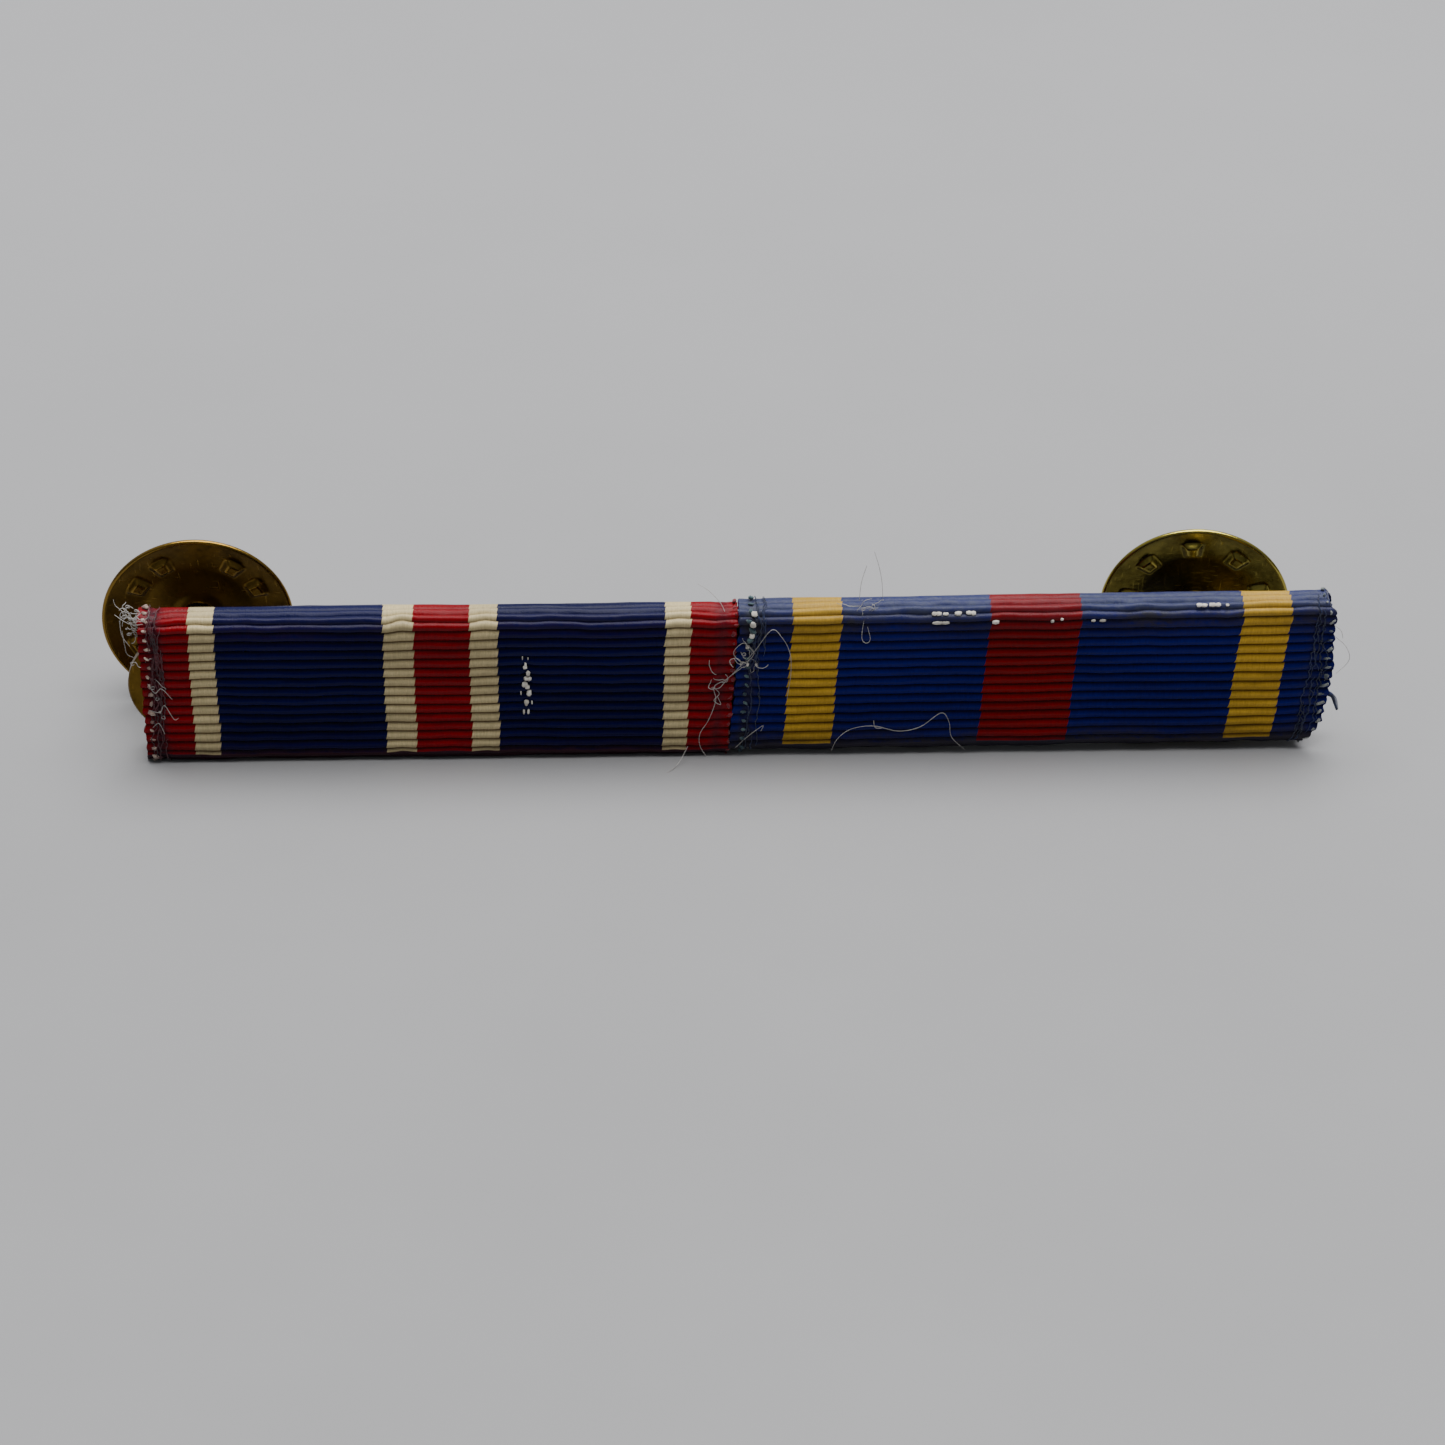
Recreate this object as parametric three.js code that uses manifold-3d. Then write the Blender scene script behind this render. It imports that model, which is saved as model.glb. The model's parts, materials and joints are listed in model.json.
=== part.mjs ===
// Two-ribbon service bar, in millimetres, +Z up.
//
// Two woven ribbons, each folded round its own sheet-brass carrier, slide on one
// brass rail. Two pins stand on the rail's back, and a butterfly clutch is pushed
// on each pin. The bar stands on its lower long edge and on the clutch discs, so
// it leans forward a little.
//
// Everything is drawn in the bar's own frame first: X runs along the bar, Y goes
// from the ribbon's face to the back, along the pins, and Z is the bar's height.

import * as THREE from 'three';
import { mergeVertices } from 'three/addons/utils/BufferGeometryUtils.js';
import Module from 'manifold-3d';

// ---------------------------------------------------------------- dimensions

const RIBBON_WIDTH = 34.9; // 1 3/8 in service ribbon, along the bar
const RIBBON_HEIGHT = 10.1; // a 3/8 in carrier and two layers of cloth
const RIBBON_CLOTH = 0.3;
const RIBBON_MOUTH = 5.0; // between the two folds at the back
const RIBBON_RADIUS = 0.75;
const RIBBON_GAP = 0.1; // between the two ribbons
const RIBBONS_SHIFT = 2.0; // both ribbons have slid this far right on the rail
const JOINT_SLANT = 0.5; // how far left the ribbon edges that meet lean at the bottom
const RIGHT_END_SLANT = 1.5; // the same at the skewed ribbon's free end
const RIGHT_RIBBON_LIFT = 0.2;

const CLOTH_CLEARANCE = 0.05;
const CARRIER_SHEET = 0.3;
const CARRIER_INSET = 0.2; // a carrier ends this far inside its ribbon's lower edge
const CARRIER_MOUTH = 4.6;
const CARRIER_RADIUS = 0.4;
const BAR_DEPTH = 2.4; // from the ribbon's face to its back folds

const RAIL_LENGTH = 67.7;
const RAIL_HEIGHT = 7.4;
const RAIL_SHEET = 0.65;
const RAIL_FRONT = 0.85;
const RAIL_BEVEL = 0.08;

const PIN_SPACING = 60.4;
const PIN_RADIUS = 0.575;
const PIN_TIP = 10.8;
const PIN_PAD_RADIUS = 1.5;
const PIN_PAD_SHEET = 0.25;
const PIN_FRONT = 1.6;
const PIN_FILLET = 0.3;
const PIN_NECK_RADIUS = 0.45; // the groove that the clutch's jaws close on
const PIN_NECK = [9.3, 10.15];

const CLUTCH_SEAT = 7.5; // the disc's rim plane, behind the ribbon's face
const DISC_RADIUS = 5.75;
const DISC_SHEET = 0.3;
const DISC_DISH = 0.8;
const DISC_FLAT_RADIUS = 3.2;
const DISC_BEAD = 0.17; // radius of the rolled rim
const DISC_BEAD_BACK = 0.05; // the rolled rim starts this far behind the rim plane
const DISC_LIP = 0.12; // level of the dish's front face where it meets the rim
const DISC_CURVE = 1.6; // the power by which the dish grows steeper outwards
const CLUTCH_HOLE = 0.95;
const EYELET_RADIUS = 1.2;
const EYELET_RISE = 0.35;
const EYELET_SLOPE = 0.3;
const NIB_RING = 4.05;
const NIB_RADIUS = 0.9; // half the diagonal of a nib's square foot
const NIB_HEIGHT = 0.42;
const NIB_ROOT = 0.15; // how far its foot is sunk in the disc
const NIB_TIP = 0.55; // its blunt end, as a share of its foot
const NIB_HOLLOW = 0.72; // its hollow back, as a share of the nib
const NIB_FLOOR = DISC_DISH - 0.13; // the dish's front face under the ring of nibs

const COVER_HALF_LENGTH = 3.1;
const COVER_HALF_WIDTH = 2.45;
const COVER_CORNER = 0.9;
const COVER_SHEET = 0.3;
const COVER_FOOT = 1.2; // the cover stands this far behind the rim plane
const COVER_TOP = 3.9;
const COVER_FLANGE = 0.85;
const WINDOW_HALF_WIDTH = 1.55;
const WINDOW = [1.65, 3.2];

const JAW_SHEET = 0.3;
const JAW_HALF_WIDTH = 1.2;
const JAW_REAR = 1.7;
const JAW_BEND = 3.3;
const JAW_TIP = 4.45;
const JAW_LEVELS = [1.85, 2.3];
const WING_ANGLE = THREE.MathUtils.degToRad(40);
const JAW_ROUND = 0.75; // the ends' corner radius, as a share of the half width
const SLOT_NEAR = 0.72; // the slot's edge that grips the pin
const SLOT_FAR = 1.3;
const SLOT_HALF_WIDTH = 0.8;
const SLOT_ROUND = 0.9; // its corner radius, as a share of the near reach

const SPRING_RADIUS = 1.9;
const SPRING_SHEET = 0.2;
const SPRING_FOOT = 1.2;
const SPRING_CONE = 0.25;

// The clutch's axis crosses the pin's axis here, behind the rim plane.
const CLUTCH_PIVOT = 2.2;

const CLUTCHES = [
  {
    name: 'left_clutch', side: -1, yaw: THREE.MathUtils.degToRad(1), colour: '#6b5620',
    nibs: [0, 1, 2, 3].flatMap((k) => [90 * k + 43 - 14.5, 90 * k + 43 + 14.5]),
  },
  {
    name: 'right_clutch', side: 1, yaw: THREE.MathUtils.degToRad(-4.7), colour: '#6d6526',
    nibs: Array.from({ length: 9 }, (_, k) => 40 * k + 15),
  },
];

const wasm = await Module();
wasm.setup();

// ------------------------------------------------------------------- helpers

/** A closed solid with the same surface as a drawn geometry. */
function solid(geometry) {
  const bare = geometry.clone();
  bare.deleteAttribute('normal');
  bare.deleteAttribute('uv');
  const merged = mergeVertices(bare, 1e-4);
  return new wasm.Manifold(new wasm.Mesh({
    numProp: 3,
    vertProperties: new Float32Array(merged.attributes.position.array),
    triVerts: new Uint32Array(merged.index.array),
  }));
}

/** The geometry of a closed solid, ready to be placed. */
function surface(body) {
  const { vertProperties, triVerts, numProp } = body.getMesh();
  if (numProp !== 3) throw new Error('positions only');
  const geometry = new THREE.BufferGeometry();
  geometry.setAttribute('position', new THREE.BufferAttribute(vertProperties, 3));
  geometry.setIndex(new THREE.BufferAttribute(triVerts, 1));
  geometry.computeVertexNormals();
  return geometry;
}

const AXES = {
  x: [new THREE.Vector3(0, 1, 0), new THREE.Vector3(0, 0, 1), new THREE.Vector3(1, 0, 0)],
  y: [new THREE.Vector3(0, 0, 1), new THREE.Vector3(1, 0, 0), new THREE.Vector3(0, 1, 0)],
  z: [new THREE.Vector3(1, 0, 0), new THREE.Vector3(0, 1, 0), new THREE.Vector3(0, 0, 1)],
};

/**
 * A shape pushed along one axis from start to end. Its own two coordinates are the
 * next two axes in turn: YZ for x, ZX for y and XY for z.
 */
function extrudeAlong(axis, shape, start, end, bevel = 0, bevelSegments = 1, curveSegments = 8) {
  const geometry = new THREE.ExtrudeGeometry(shape, {
    depth: end - start - 2 * bevel,
    curveSegments,
    bevelEnabled: bevel > 0,
    bevelThickness: bevel,
    bevelSize: bevel,
    bevelOffset: -bevel,
    bevelSegments,
  });
  geometry.translate(0, 0, start + bevel);
  return geometry.applyMatrix4(new THREE.Matrix4().makeBasis(...AXES[axis]));
}

/** A rectangle with round corners, centred on a point. */
function roundedRectangle(centre, half, radius) {
  const [left, right] = [centre[0] - half[0] + radius, centre[0] + half[0] - radius];
  const [low, high] = [centre[1] - half[1] + radius, centre[1] + half[1] - radius];
  const shape = new THREE.Shape();
  shape.absarc(right, low, radius, -Math.PI / 2, 0, false);
  shape.absarc(right, high, radius, 0, Math.PI / 2, false);
  shape.absarc(left, high, radius, Math.PI / 2, Math.PI, false);
  shape.absarc(left, low, radius, Math.PI, Math.PI * 1.5, false);
  shape.closePath();
  return shape;
}

/** A ring or peg turned about Y from closed [radius, y] points. */
function turned(points, segments = 48) {
  return new THREE.LatheGeometry(points.map(([r, y]) => new THREE.Vector2(r, y)), segments);
}

/**
 * A channel's section in Y and Z: a sheet folded over at the top and the bottom,
 * open at the back between the two folds. Each round is the centre, the radius, the
 * two angles and the sense of one arc.
 */
function channelSection({ front, back, halfHeight, sheet, halfMouth, radius }) {
  const inner = Math.max(radius - sheet, 0.1);
  const half = Math.PI / 2;
  const high = halfHeight - radius;
  const [innerFront, innerBack] = [front + sheet + inner, back - sheet - inner];
  const innerHigh = halfHeight - sheet - inner;
  const shape = new THREE.Shape();
  shape.moveTo(back, halfMouth);
  shape.lineTo(back, high);
  [
    [back - radius, high, radius, 0, half, false],
    [front + radius, high, radius, half, 2 * half, false],
    [front + radius, -high, radius, 2 * half, 3 * half, false],
    [back - radius, -high, radius, -half, 0, false],
  ].forEach((arc) => shape.absarc(...arc));
  shape.lineTo(back, -halfMouth);
  shape.lineTo(back - sheet, -halfMouth);
  [
    [innerBack, -innerHigh, inner, 0, -half, true],
    [innerFront, -innerHigh, inner, -half, -2 * half, true],
    [innerFront, innerHigh, inner, 2 * half, half, true],
    [innerBack, innerHigh, inner, half, 0, true],
  ].forEach((arc) => shape.absarc(...arc));
  shape.lineTo(back - sheet, halfMouth);
  shape.closePath();
  return shape;
}

// ---------------------------------------------------------------- the pieces

/** A woven ribbon folded round its carrier, its two ends leaning as they are cut. */
function ribbon(start, slants) {
  const geometry = extrudeAlong('x', channelSection({
    front: 0,
    back: BAR_DEPTH,
    halfHeight: RIBBON_HEIGHT / 2,
    sheet: RIBBON_CLOTH,
    halfMouth: RIBBON_MOUTH / 2,
    radius: RIBBON_RADIUS,
  }), start, start + RIBBON_WIDTH);
  const position = geometry.attributes.position;
  for (let i = 0; i < position.count; i += 1) {
    const along = (position.getX(i) - start) / RIBBON_WIDTH;
    const slant = THREE.MathUtils.lerp(slants[0], slants[1], along);
    position.setX(i, position.getX(i) + slant * (position.getZ(i) / RIBBON_HEIGHT - 0.5));
  }
  return geometry;
}

/** A sheet-brass channel that a ribbon is folded round, clear of the ribbon's leaning ends. */
function carrier(start, slant) {
  const skin = RIBBON_CLOTH + CLOTH_CLEARANCE;
  return extrudeAlong('x', channelSection({
    front: skin,
    back: BAR_DEPTH - skin,
    halfHeight: RIBBON_HEIGHT / 2 - skin,
    sheet: CARRIER_SHEET,
    halfMouth: CARRIER_MOUTH / 2,
    radius: CARRIER_RADIUS,
  }), start + CARRIER_INSET, start + RIBBON_WIDTH - slant - CARRIER_INSET);
}

/** The flat rail with full round ends that both carriers slide on. */
function rail() {
  const outline = roundedRectangle([0, 0], [RAIL_HEIGHT / 2, RAIL_LENGTH / 2], RAIL_HEIGHT / 2 - 1e-3);
  return extrudeAlong('y', outline, RAIL_FRONT, RAIL_FRONT + RAIL_SHEET, RAIL_BEVEL, 1, 16);
}

/** A pin with a flat pad at the rail, a groove near its end and a blunt point. */
function pin() {
  const foot = PIN_FRONT + PIN_PAD_SHEET;
  const [neckStart, neckEnd] = PIN_NECK;
  const slope = PIN_RADIUS - PIN_NECK_RADIUS;
  return turned([
    [0, PIN_FRONT], [PIN_PAD_RADIUS, PIN_FRONT], [PIN_PAD_RADIUS, foot],
    [PIN_RADIUS + PIN_FILLET, foot], [PIN_RADIUS + PIN_FILLET * 0.3, foot + PIN_FILLET * 0.3],
    [PIN_RADIUS, foot + PIN_FILLET],
    [PIN_RADIUS, neckStart - slope], [PIN_NECK_RADIUS, neckStart],
    [PIN_NECK_RADIUS, neckEnd - slope], [PIN_RADIUS, neckEnd],
    [PIN_RADIUS * 0.85, neckEnd + 0.25], [PIN_RADIUS * 0.3, PIN_TIP - 0.1], [0, PIN_TIP],
  ], 24);
}

/** The clutch's dished disc, with its rolled rim, eyelet and pressed square nibs. */
function clutchDisc(nibAngles) {
  const beadCentre = [DISC_RADIUS - DISC_BEAD, DISC_BEAD + DISC_BEAD_BACK];
  const overlap = DISC_BEAD * 0.4;
  const dishEnd = beadCentre[0] - overlap;
  const dish = (r) => {
    const t = Math.max(0, (r - DISC_FLAT_RADIUS) / (dishEnd - DISC_FLAT_RADIUS));
    return DISC_DISH - (DISC_DISH - DISC_LIP) * t ** DISC_CURVE;
  };
  const dishRadii = Array.from({ length: 5 }, (_, k) => (
    DISC_FLAT_RADIUS + (k / 4) * (dishEnd - DISC_FLAT_RADIUS)));
  const bead = Array.from({ length: 6 }, (_, k) => {
    const angle = THREE.MathUtils.degToRad(-110 + 40 * k);
    return [beadCentre[0] + DISC_BEAD * Math.cos(angle), beadCentre[1] + DISC_BEAD * Math.sin(angle)];
  });
  const eyelet = DISC_DISH - EYELET_RISE;
  const profile = [
    [CLUTCH_HOLE, eyelet], [EYELET_RADIUS, eyelet], [EYELET_RADIUS + EYELET_SLOPE, DISC_DISH],
    ...dishRadii.map((r) => [r, dish(r)]),
    ...bead,
    ...dishRadii.toReversed().map((r) => [r, dish(r) + DISC_SHEET]),
    [CLUTCH_HOLE, DISC_DISH + DISC_SHEET], [CLUTCH_HOLE, eyelet],
  ];
  let disc = solid(turned(profile));
  for (const angle of nibAngles) {
    disc = disc.add(nib(angle, 0, 1)).subtract(nib(angle, DISC_SHEET + NIB_ROOT, NIB_HOLLOW));
  }
  return surface(disc);
}

/** A square blunt pyramid that stands from the disc towards the cloth. */
function nib(angle, back, scale) {
  const foot = NIB_FLOOR + NIB_ROOT;
  const height = NIB_HEIGHT + NIB_ROOT;
  const geometry = new THREE.CylinderGeometry(NIB_RADIUS * scale, NIB_RADIUS * NIB_TIP * scale, height, 4);
  geometry.rotateY(Math.PI / 4);
  geometry.translate(NIB_RING, foot - height / 2 + back, 0);
  geometry.rotateY(-THREE.MathUtils.degToRad(angle));
  return solid(geometry);
}

/**
 * The pressed cover on the disc's back, with a window at each end for a wing. Its dome
 * is drawn deeper than it is, and the floor block cuts it off flat at its foot.
 */
function clutchCover() {
  const block = (halfWidth, halfLength, corner, start, end, bevel = 0) => solid(extrudeAlong(
    'y', roundedRectangle([0, 0], [halfWidth, halfLength], corner), start, end, bevel, 4));
  const below = 1;
  const rounding = 0.45;
  const inner = COVER_CORNER - COVER_SHEET;
  const [innerWidth, innerLength] = [COVER_HALF_WIDTH - COVER_SHEET, COVER_HALF_LENGTH - COVER_SHEET];
  const window = new THREE.BoxGeometry(
    4 * COVER_HALF_LENGTH, WINDOW[1] - WINDOW[0], 2 * WINDOW_HALF_WIDTH);
  window.translate(0, (WINDOW[0] + WINDOW[1]) / 2, 0);
  const [floorSize, floorDepth] = [20, 4];
  const floor = new THREE.BoxGeometry(floorSize, floorDepth, floorSize)
    .translate(0, COVER_FOOT - floorDepth / 2, 0);
  const tipHole = new THREE.CylinderGeometry(CLUTCH_HOLE, CLUTCH_HOLE, 4, 24).translate(0, COVER_TOP, 0);
  const flange = block(COVER_HALF_WIDTH + COVER_FLANGE, COVER_HALF_LENGTH, COVER_CORNER,
    COVER_FOOT, COVER_FOOT + COVER_SHEET);
  const dome = block(COVER_HALF_WIDTH, COVER_HALF_LENGTH, COVER_CORNER,
    COVER_FOOT - below, COVER_TOP, rounding);
  const hollow = block(innerWidth, innerLength, inner, COVER_FOOT - below, COVER_TOP - COVER_SHEET);
  return surface(dome.subtract(solid(floor)).add(flange).subtract(hollow)
    .subtract(solid(window)).subtract(solid(tipHole)));
}

/**
 * One jaw: a strip with the pin's slot inside the cover and a wing outside it. The bent
 * strip is drawn with some length to spare, and the round-ended plan cuts it to size.
 */
function clutchJaw(level, turn) {
  const [spareRear, spareTip] = [1, 0.3];
  const rise = (JAW_TIP - JAW_BEND + spareTip) * Math.tan(WING_ANGLE);
  const offset = JAW_SHEET / Math.cos(WING_ANGLE);
  const lean = JAW_SHEET * Math.tan(WING_ANGLE / 2);
  const side = new THREE.Shape([
    [-JAW_REAR - spareRear, 0], [JAW_BEND, 0],
    [JAW_TIP + spareTip, rise], [JAW_TIP + spareTip, rise + offset],
    [JAW_BEND - lean, JAW_SHEET], [-JAW_REAR - spareRear, JAW_SHEET],
  ].map(([x, y]) => new THREE.Vector2(x, y + level)));
  const strip = solid(extrudeAlong('z', side, -2 * JAW_HALF_WIDTH, 2 * JAW_HALF_WIDTH));
  const middle = (JAW_TIP - JAW_REAR) / 2;
  const plan = roundedRectangle(
    [0, middle], [JAW_HALF_WIDTH, (JAW_TIP + JAW_REAR) / 2], JAW_HALF_WIDTH * JAW_ROUND);
  const slot = roundedRectangle(
    [0, (SLOT_FAR - SLOT_NEAR) / 2], [SLOT_HALF_WIDTH, (SLOT_FAR + SLOT_NEAR) / 2], SLOT_NEAR * SLOT_ROUND);
  const jaw = strip.intersect(solid(extrudeAlong('y', plan, 0, 6)))
    .subtract(solid(extrudeAlong('y', slot, 0, 6)));
  return surface(jaw).rotateY(turn);
}

/** The coned spring ring between the disc and the jaws. */
function clutchSpring() {
  const cone = (r) => SPRING_FOOT + SPRING_CONE * (SPRING_RADIUS - r) / (SPRING_RADIUS - CLUTCH_HOLE);
  const ring = [CLUTCH_HOLE, SPRING_RADIUS];
  return turned([
    ...ring.map((r) => [r, cone(r)]),
    ...ring.toReversed().map((r) => [r, cone(r) + SPRING_SHEET]),
    [CLUTCH_HOLE, cone(CLUTCH_HOLE)],
  ], 24);
}

// --------------------------------------------------------------- the assembly

const cloth = (colour) => new THREE.MeshStandardMaterial({ color: colour, roughness: 0.85, metalness: 0 });
const brass = (colour) => new THREE.MeshStandardMaterial({ color: colour, roughness: 0.42, metalness: 1 });

/** Adds one named mesh to a group and returns it. */
function place(group, name, geometry, material) {
  const mesh = new THREE.Mesh(geometry, material);
  mesh.name = name;
  group.add(mesh);
  return mesh;
}

/** Both ribbons on their carriers, side by side on the rail. */
function ribbonUnits() {
  const units = new THREE.Group();
  const first = RIBBONS_SHIFT - RIBBON_WIDTH - RIBBON_GAP / 2;
  const second = RIBBONS_SHIFT + RIBBON_GAP / 2;
  place(units, 'left_carrier', carrier(first, JOINT_SLANT), brass('#a8863f'));
  place(units, 'left_ribbon', ribbon(first, [0, JOINT_SLANT]), cloth('#0d1638'));
  const raised = [
    place(units, 'right_carrier', carrier(second, RIGHT_END_SLANT), brass('#a8863f')),
    place(units, 'right_ribbon', ribbon(second, [JOINT_SLANT, RIGHT_END_SLANT]), cloth('#14206b')),
  ];
  raised.forEach((mesh) => mesh.translateZ(RIGHT_RIBBON_LIFT));
  return units;
}

/** One butterfly clutch on its pin, turned about the point where the jaws grip. */
function clutch({ name, side, yaw, colour, nibs }) {
  const seat = new THREE.Group();
  seat.position.set(side * PIN_SPACING / 2, CLUTCH_SEAT + CLUTCH_PIVOT, 0);
  seat.rotation.z = yaw;
  const body = new THREE.Group();
  body.position.y = -CLUTCH_PIVOT;
  seat.add(body);
  place(body, `${name}_disc`, clutchDisc(nibs), brass(colour));
  place(body, `${name}_cover`, clutchCover(), brass(colour));
  place(body, `${name}_spring`, clutchSpring(), brass('#8d8468'));
  place(body, `${name}_right_wing`, clutchJaw(JAW_LEVELS[0], 0), brass(colour));
  place(body, `${name}_left_wing`, clutchJaw(JAW_LEVELS[1], Math.PI), brass(colour));
  return seat;
}

/**
 * How far the bar leans forward, in radians: the ribbon's lower front fold and the
 * clutch disc's rim bead both touch the ground.
 */
function lean() {
  const foldCentre = [RIBBON_RADIUS, RIBBON_HEIGHT / 2 - RIBBON_RADIUS];
  const beadCentre = [CLUTCH_SEAT + DISC_BEAD + DISC_BEAD_BACK, DISC_RADIUS - DISC_BEAD];
  const back = beadCentre[0] - foldCentre[0];
  const down = beadCentre[1] - foldCentre[1];
  const reach = Math.hypot(back, down);
  return Math.atan2(down, back) - Math.asin((RIBBON_RADIUS - DISC_BEAD) / reach);
}

const bar = new THREE.Group();
place(bar, 'mount_rail', rail(), brass('#9a7b38'));
for (const [name, side] of [['left_pin', -1], ['right_pin', 1]]) {
  place(bar, name, pin(), brass('#9a8a4c')).position.x = side * PIN_SPACING / 2;
}
bar.add(ribbonUnits(), ...CLUTCHES.map(clutch));
bar.rotation.x = lean();

// The origin is under the middle of the whole bar, on the ground.
const group = new THREE.Group();
group.name = 'service_ribbon_bar';
group.add(bar);
group.updateMatrixWorld(true);
const bounds = new THREE.Box3().setFromObject(group, true);
const middle = bounds.getCenter(new THREE.Vector3());
bar.position.set(-middle.x, -middle.y, -bounds.min.z);

export default group;
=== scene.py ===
"""Looks of a two-ribbon service bar that stands on its lower edge.

Two folded ribbed ribbons, their selvedge loops, frayed threads and lint, and the
two dished clutch discs are worked out here on grids of points. The brass parts
that the frame already shapes keep their shape and get their finish.
"""

import json
import logging
import math
from dataclasses import dataclass, field
from enum import Enum

import bmesh
import bpy
import numpy as np
from mathutils import Euler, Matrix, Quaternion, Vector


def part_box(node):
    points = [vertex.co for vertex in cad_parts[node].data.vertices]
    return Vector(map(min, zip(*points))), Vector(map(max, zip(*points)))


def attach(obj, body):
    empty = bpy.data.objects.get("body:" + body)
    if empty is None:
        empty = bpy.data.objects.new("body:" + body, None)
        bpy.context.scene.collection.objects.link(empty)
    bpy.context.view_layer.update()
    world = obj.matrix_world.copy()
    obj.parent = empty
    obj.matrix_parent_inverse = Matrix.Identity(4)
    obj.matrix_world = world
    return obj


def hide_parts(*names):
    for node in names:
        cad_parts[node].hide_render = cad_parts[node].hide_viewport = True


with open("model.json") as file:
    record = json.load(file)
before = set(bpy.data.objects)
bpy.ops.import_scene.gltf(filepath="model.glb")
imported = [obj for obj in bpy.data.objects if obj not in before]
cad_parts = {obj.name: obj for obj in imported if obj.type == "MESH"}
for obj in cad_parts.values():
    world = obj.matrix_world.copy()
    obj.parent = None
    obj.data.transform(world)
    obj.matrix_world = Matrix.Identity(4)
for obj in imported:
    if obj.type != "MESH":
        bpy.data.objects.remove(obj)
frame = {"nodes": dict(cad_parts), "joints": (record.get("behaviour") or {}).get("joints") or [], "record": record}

Colour = tuple[float, float, float]
Point = tuple[float, float, float]
Socket = bpy.types.NodeSocket

MM = 0.001
LOG = logging.getLogger("service_bar")


# ------------------------------------------------------------------ the frame


@dataclass(frozen=True)
class BarFrame:
    """The leaning bar's own axes: along it, back along the pins, and up its height.

    Attributes:
        origin: the rail's middle at the ribbon face's depth, in metres.
        back: unit vector along the pins, away from the ribbon face.
        lift: how far the right ribbon sits above the left one, in millimetres.
    """

    origin: np.ndarray
    back: np.ndarray
    lift: float

    @classmethod
    def from_record(cls) -> "BarFrame":
        """Find the bar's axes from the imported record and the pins' boxes.

        Returns:
            The bar's frame.
        """
        mounts = {m["name"]: m for m in frame["record"]["mounts"]}
        face = mounts["left_ribbon_face"]
        back = -np.array(face["axis"], dtype=float)
        pins = [np.array(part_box(name)).mean(axis=0) for name in ("left_pin", "right_pin")]
        origin = np.array(face["pos_m"], dtype=float)
        origin[0] = (pins[0][0] + pins[1][0]) / 2
        rise = np.array(mounts["right_ribbon_face"]["pos_m"]) - np.array(face["pos_m"])
        up = np.cross([1.0, 0.0, 0.0], back)
        return cls(origin, back, float(rise @ up) / MM)

    def place(self, points: np.ndarray) -> np.ndarray:
        """Carry points from the bar's millimetres to the frame's metres.

        Args:
            points: (..., 3) along, back and up, in millimetres.

        Returns:
            The same points in metres.
        """
        up = np.cross([1.0, 0.0, 0.0], self.back)
        axes = np.array([[1.0, 0.0, 0.0], self.back, up])
        return self.origin + (np.asarray(points, dtype=float) * MM) @ axes

    def along(self, x: float) -> float:
        """The bar's own millimetres for a metre position along X."""
        return (x - self.origin[0]) / MM


# ------------------------------------------------------------- mesh from grids


def value_noise(a: np.ndarray, b: np.ndarray, seed: int, size: int = 64) -> np.ndarray:
    """Smooth noise from -1 to 1: random heights on a lattice, eased between its points.

    Args:
        a: first coordinate, one unit per lattice step.
        b: second coordinate, broadcast with the first.
        seed: which lattice of random heights.
        size: lattice points before it repeats.

    Returns:
        The noise, in the shape that a and b broadcast to.
    """
    heights = np.random.default_rng(seed).uniform(-1.0, 1.0, (size, size))
    a, b = np.broadcast_arrays(np.asarray(a, float), np.asarray(b, float))
    i, j = np.floor(a).astype(int), np.floor(b).astype(int)
    s, t = a - i, b - j
    s, t = s * s * (3 - 2 * s), t * t * (3 - 2 * t)

    def corner(di: int, dj: int) -> np.ndarray:
        """The random height at one corner of each point's lattice square."""
        return heights[(i + di) % size, (j + dj) % size]

    low = corner(0, 0) * (1 - s) + corner(1, 0) * s
    high = corner(0, 1) * (1 - s) + corner(1, 1) * s
    return low * (1 - t) + high * t


def smooth_step(value: np.ndarray, start: float, end: float) -> np.ndarray:
    """Rise from 0 at start to 1 at end along an eased curve."""
    t = np.clip((np.asarray(value, float) - start) / (end - start), 0.0, 1.0)
    return t * t * (3 - 2 * t)


def blunt(value: np.ndarray, power: float = 0.75) -> np.ndarray:
    """A sine or cosine raised to a power below 1 with its sign kept, which squares a round shape."""
    return np.sign(value) * np.abs(value) ** power


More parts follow.
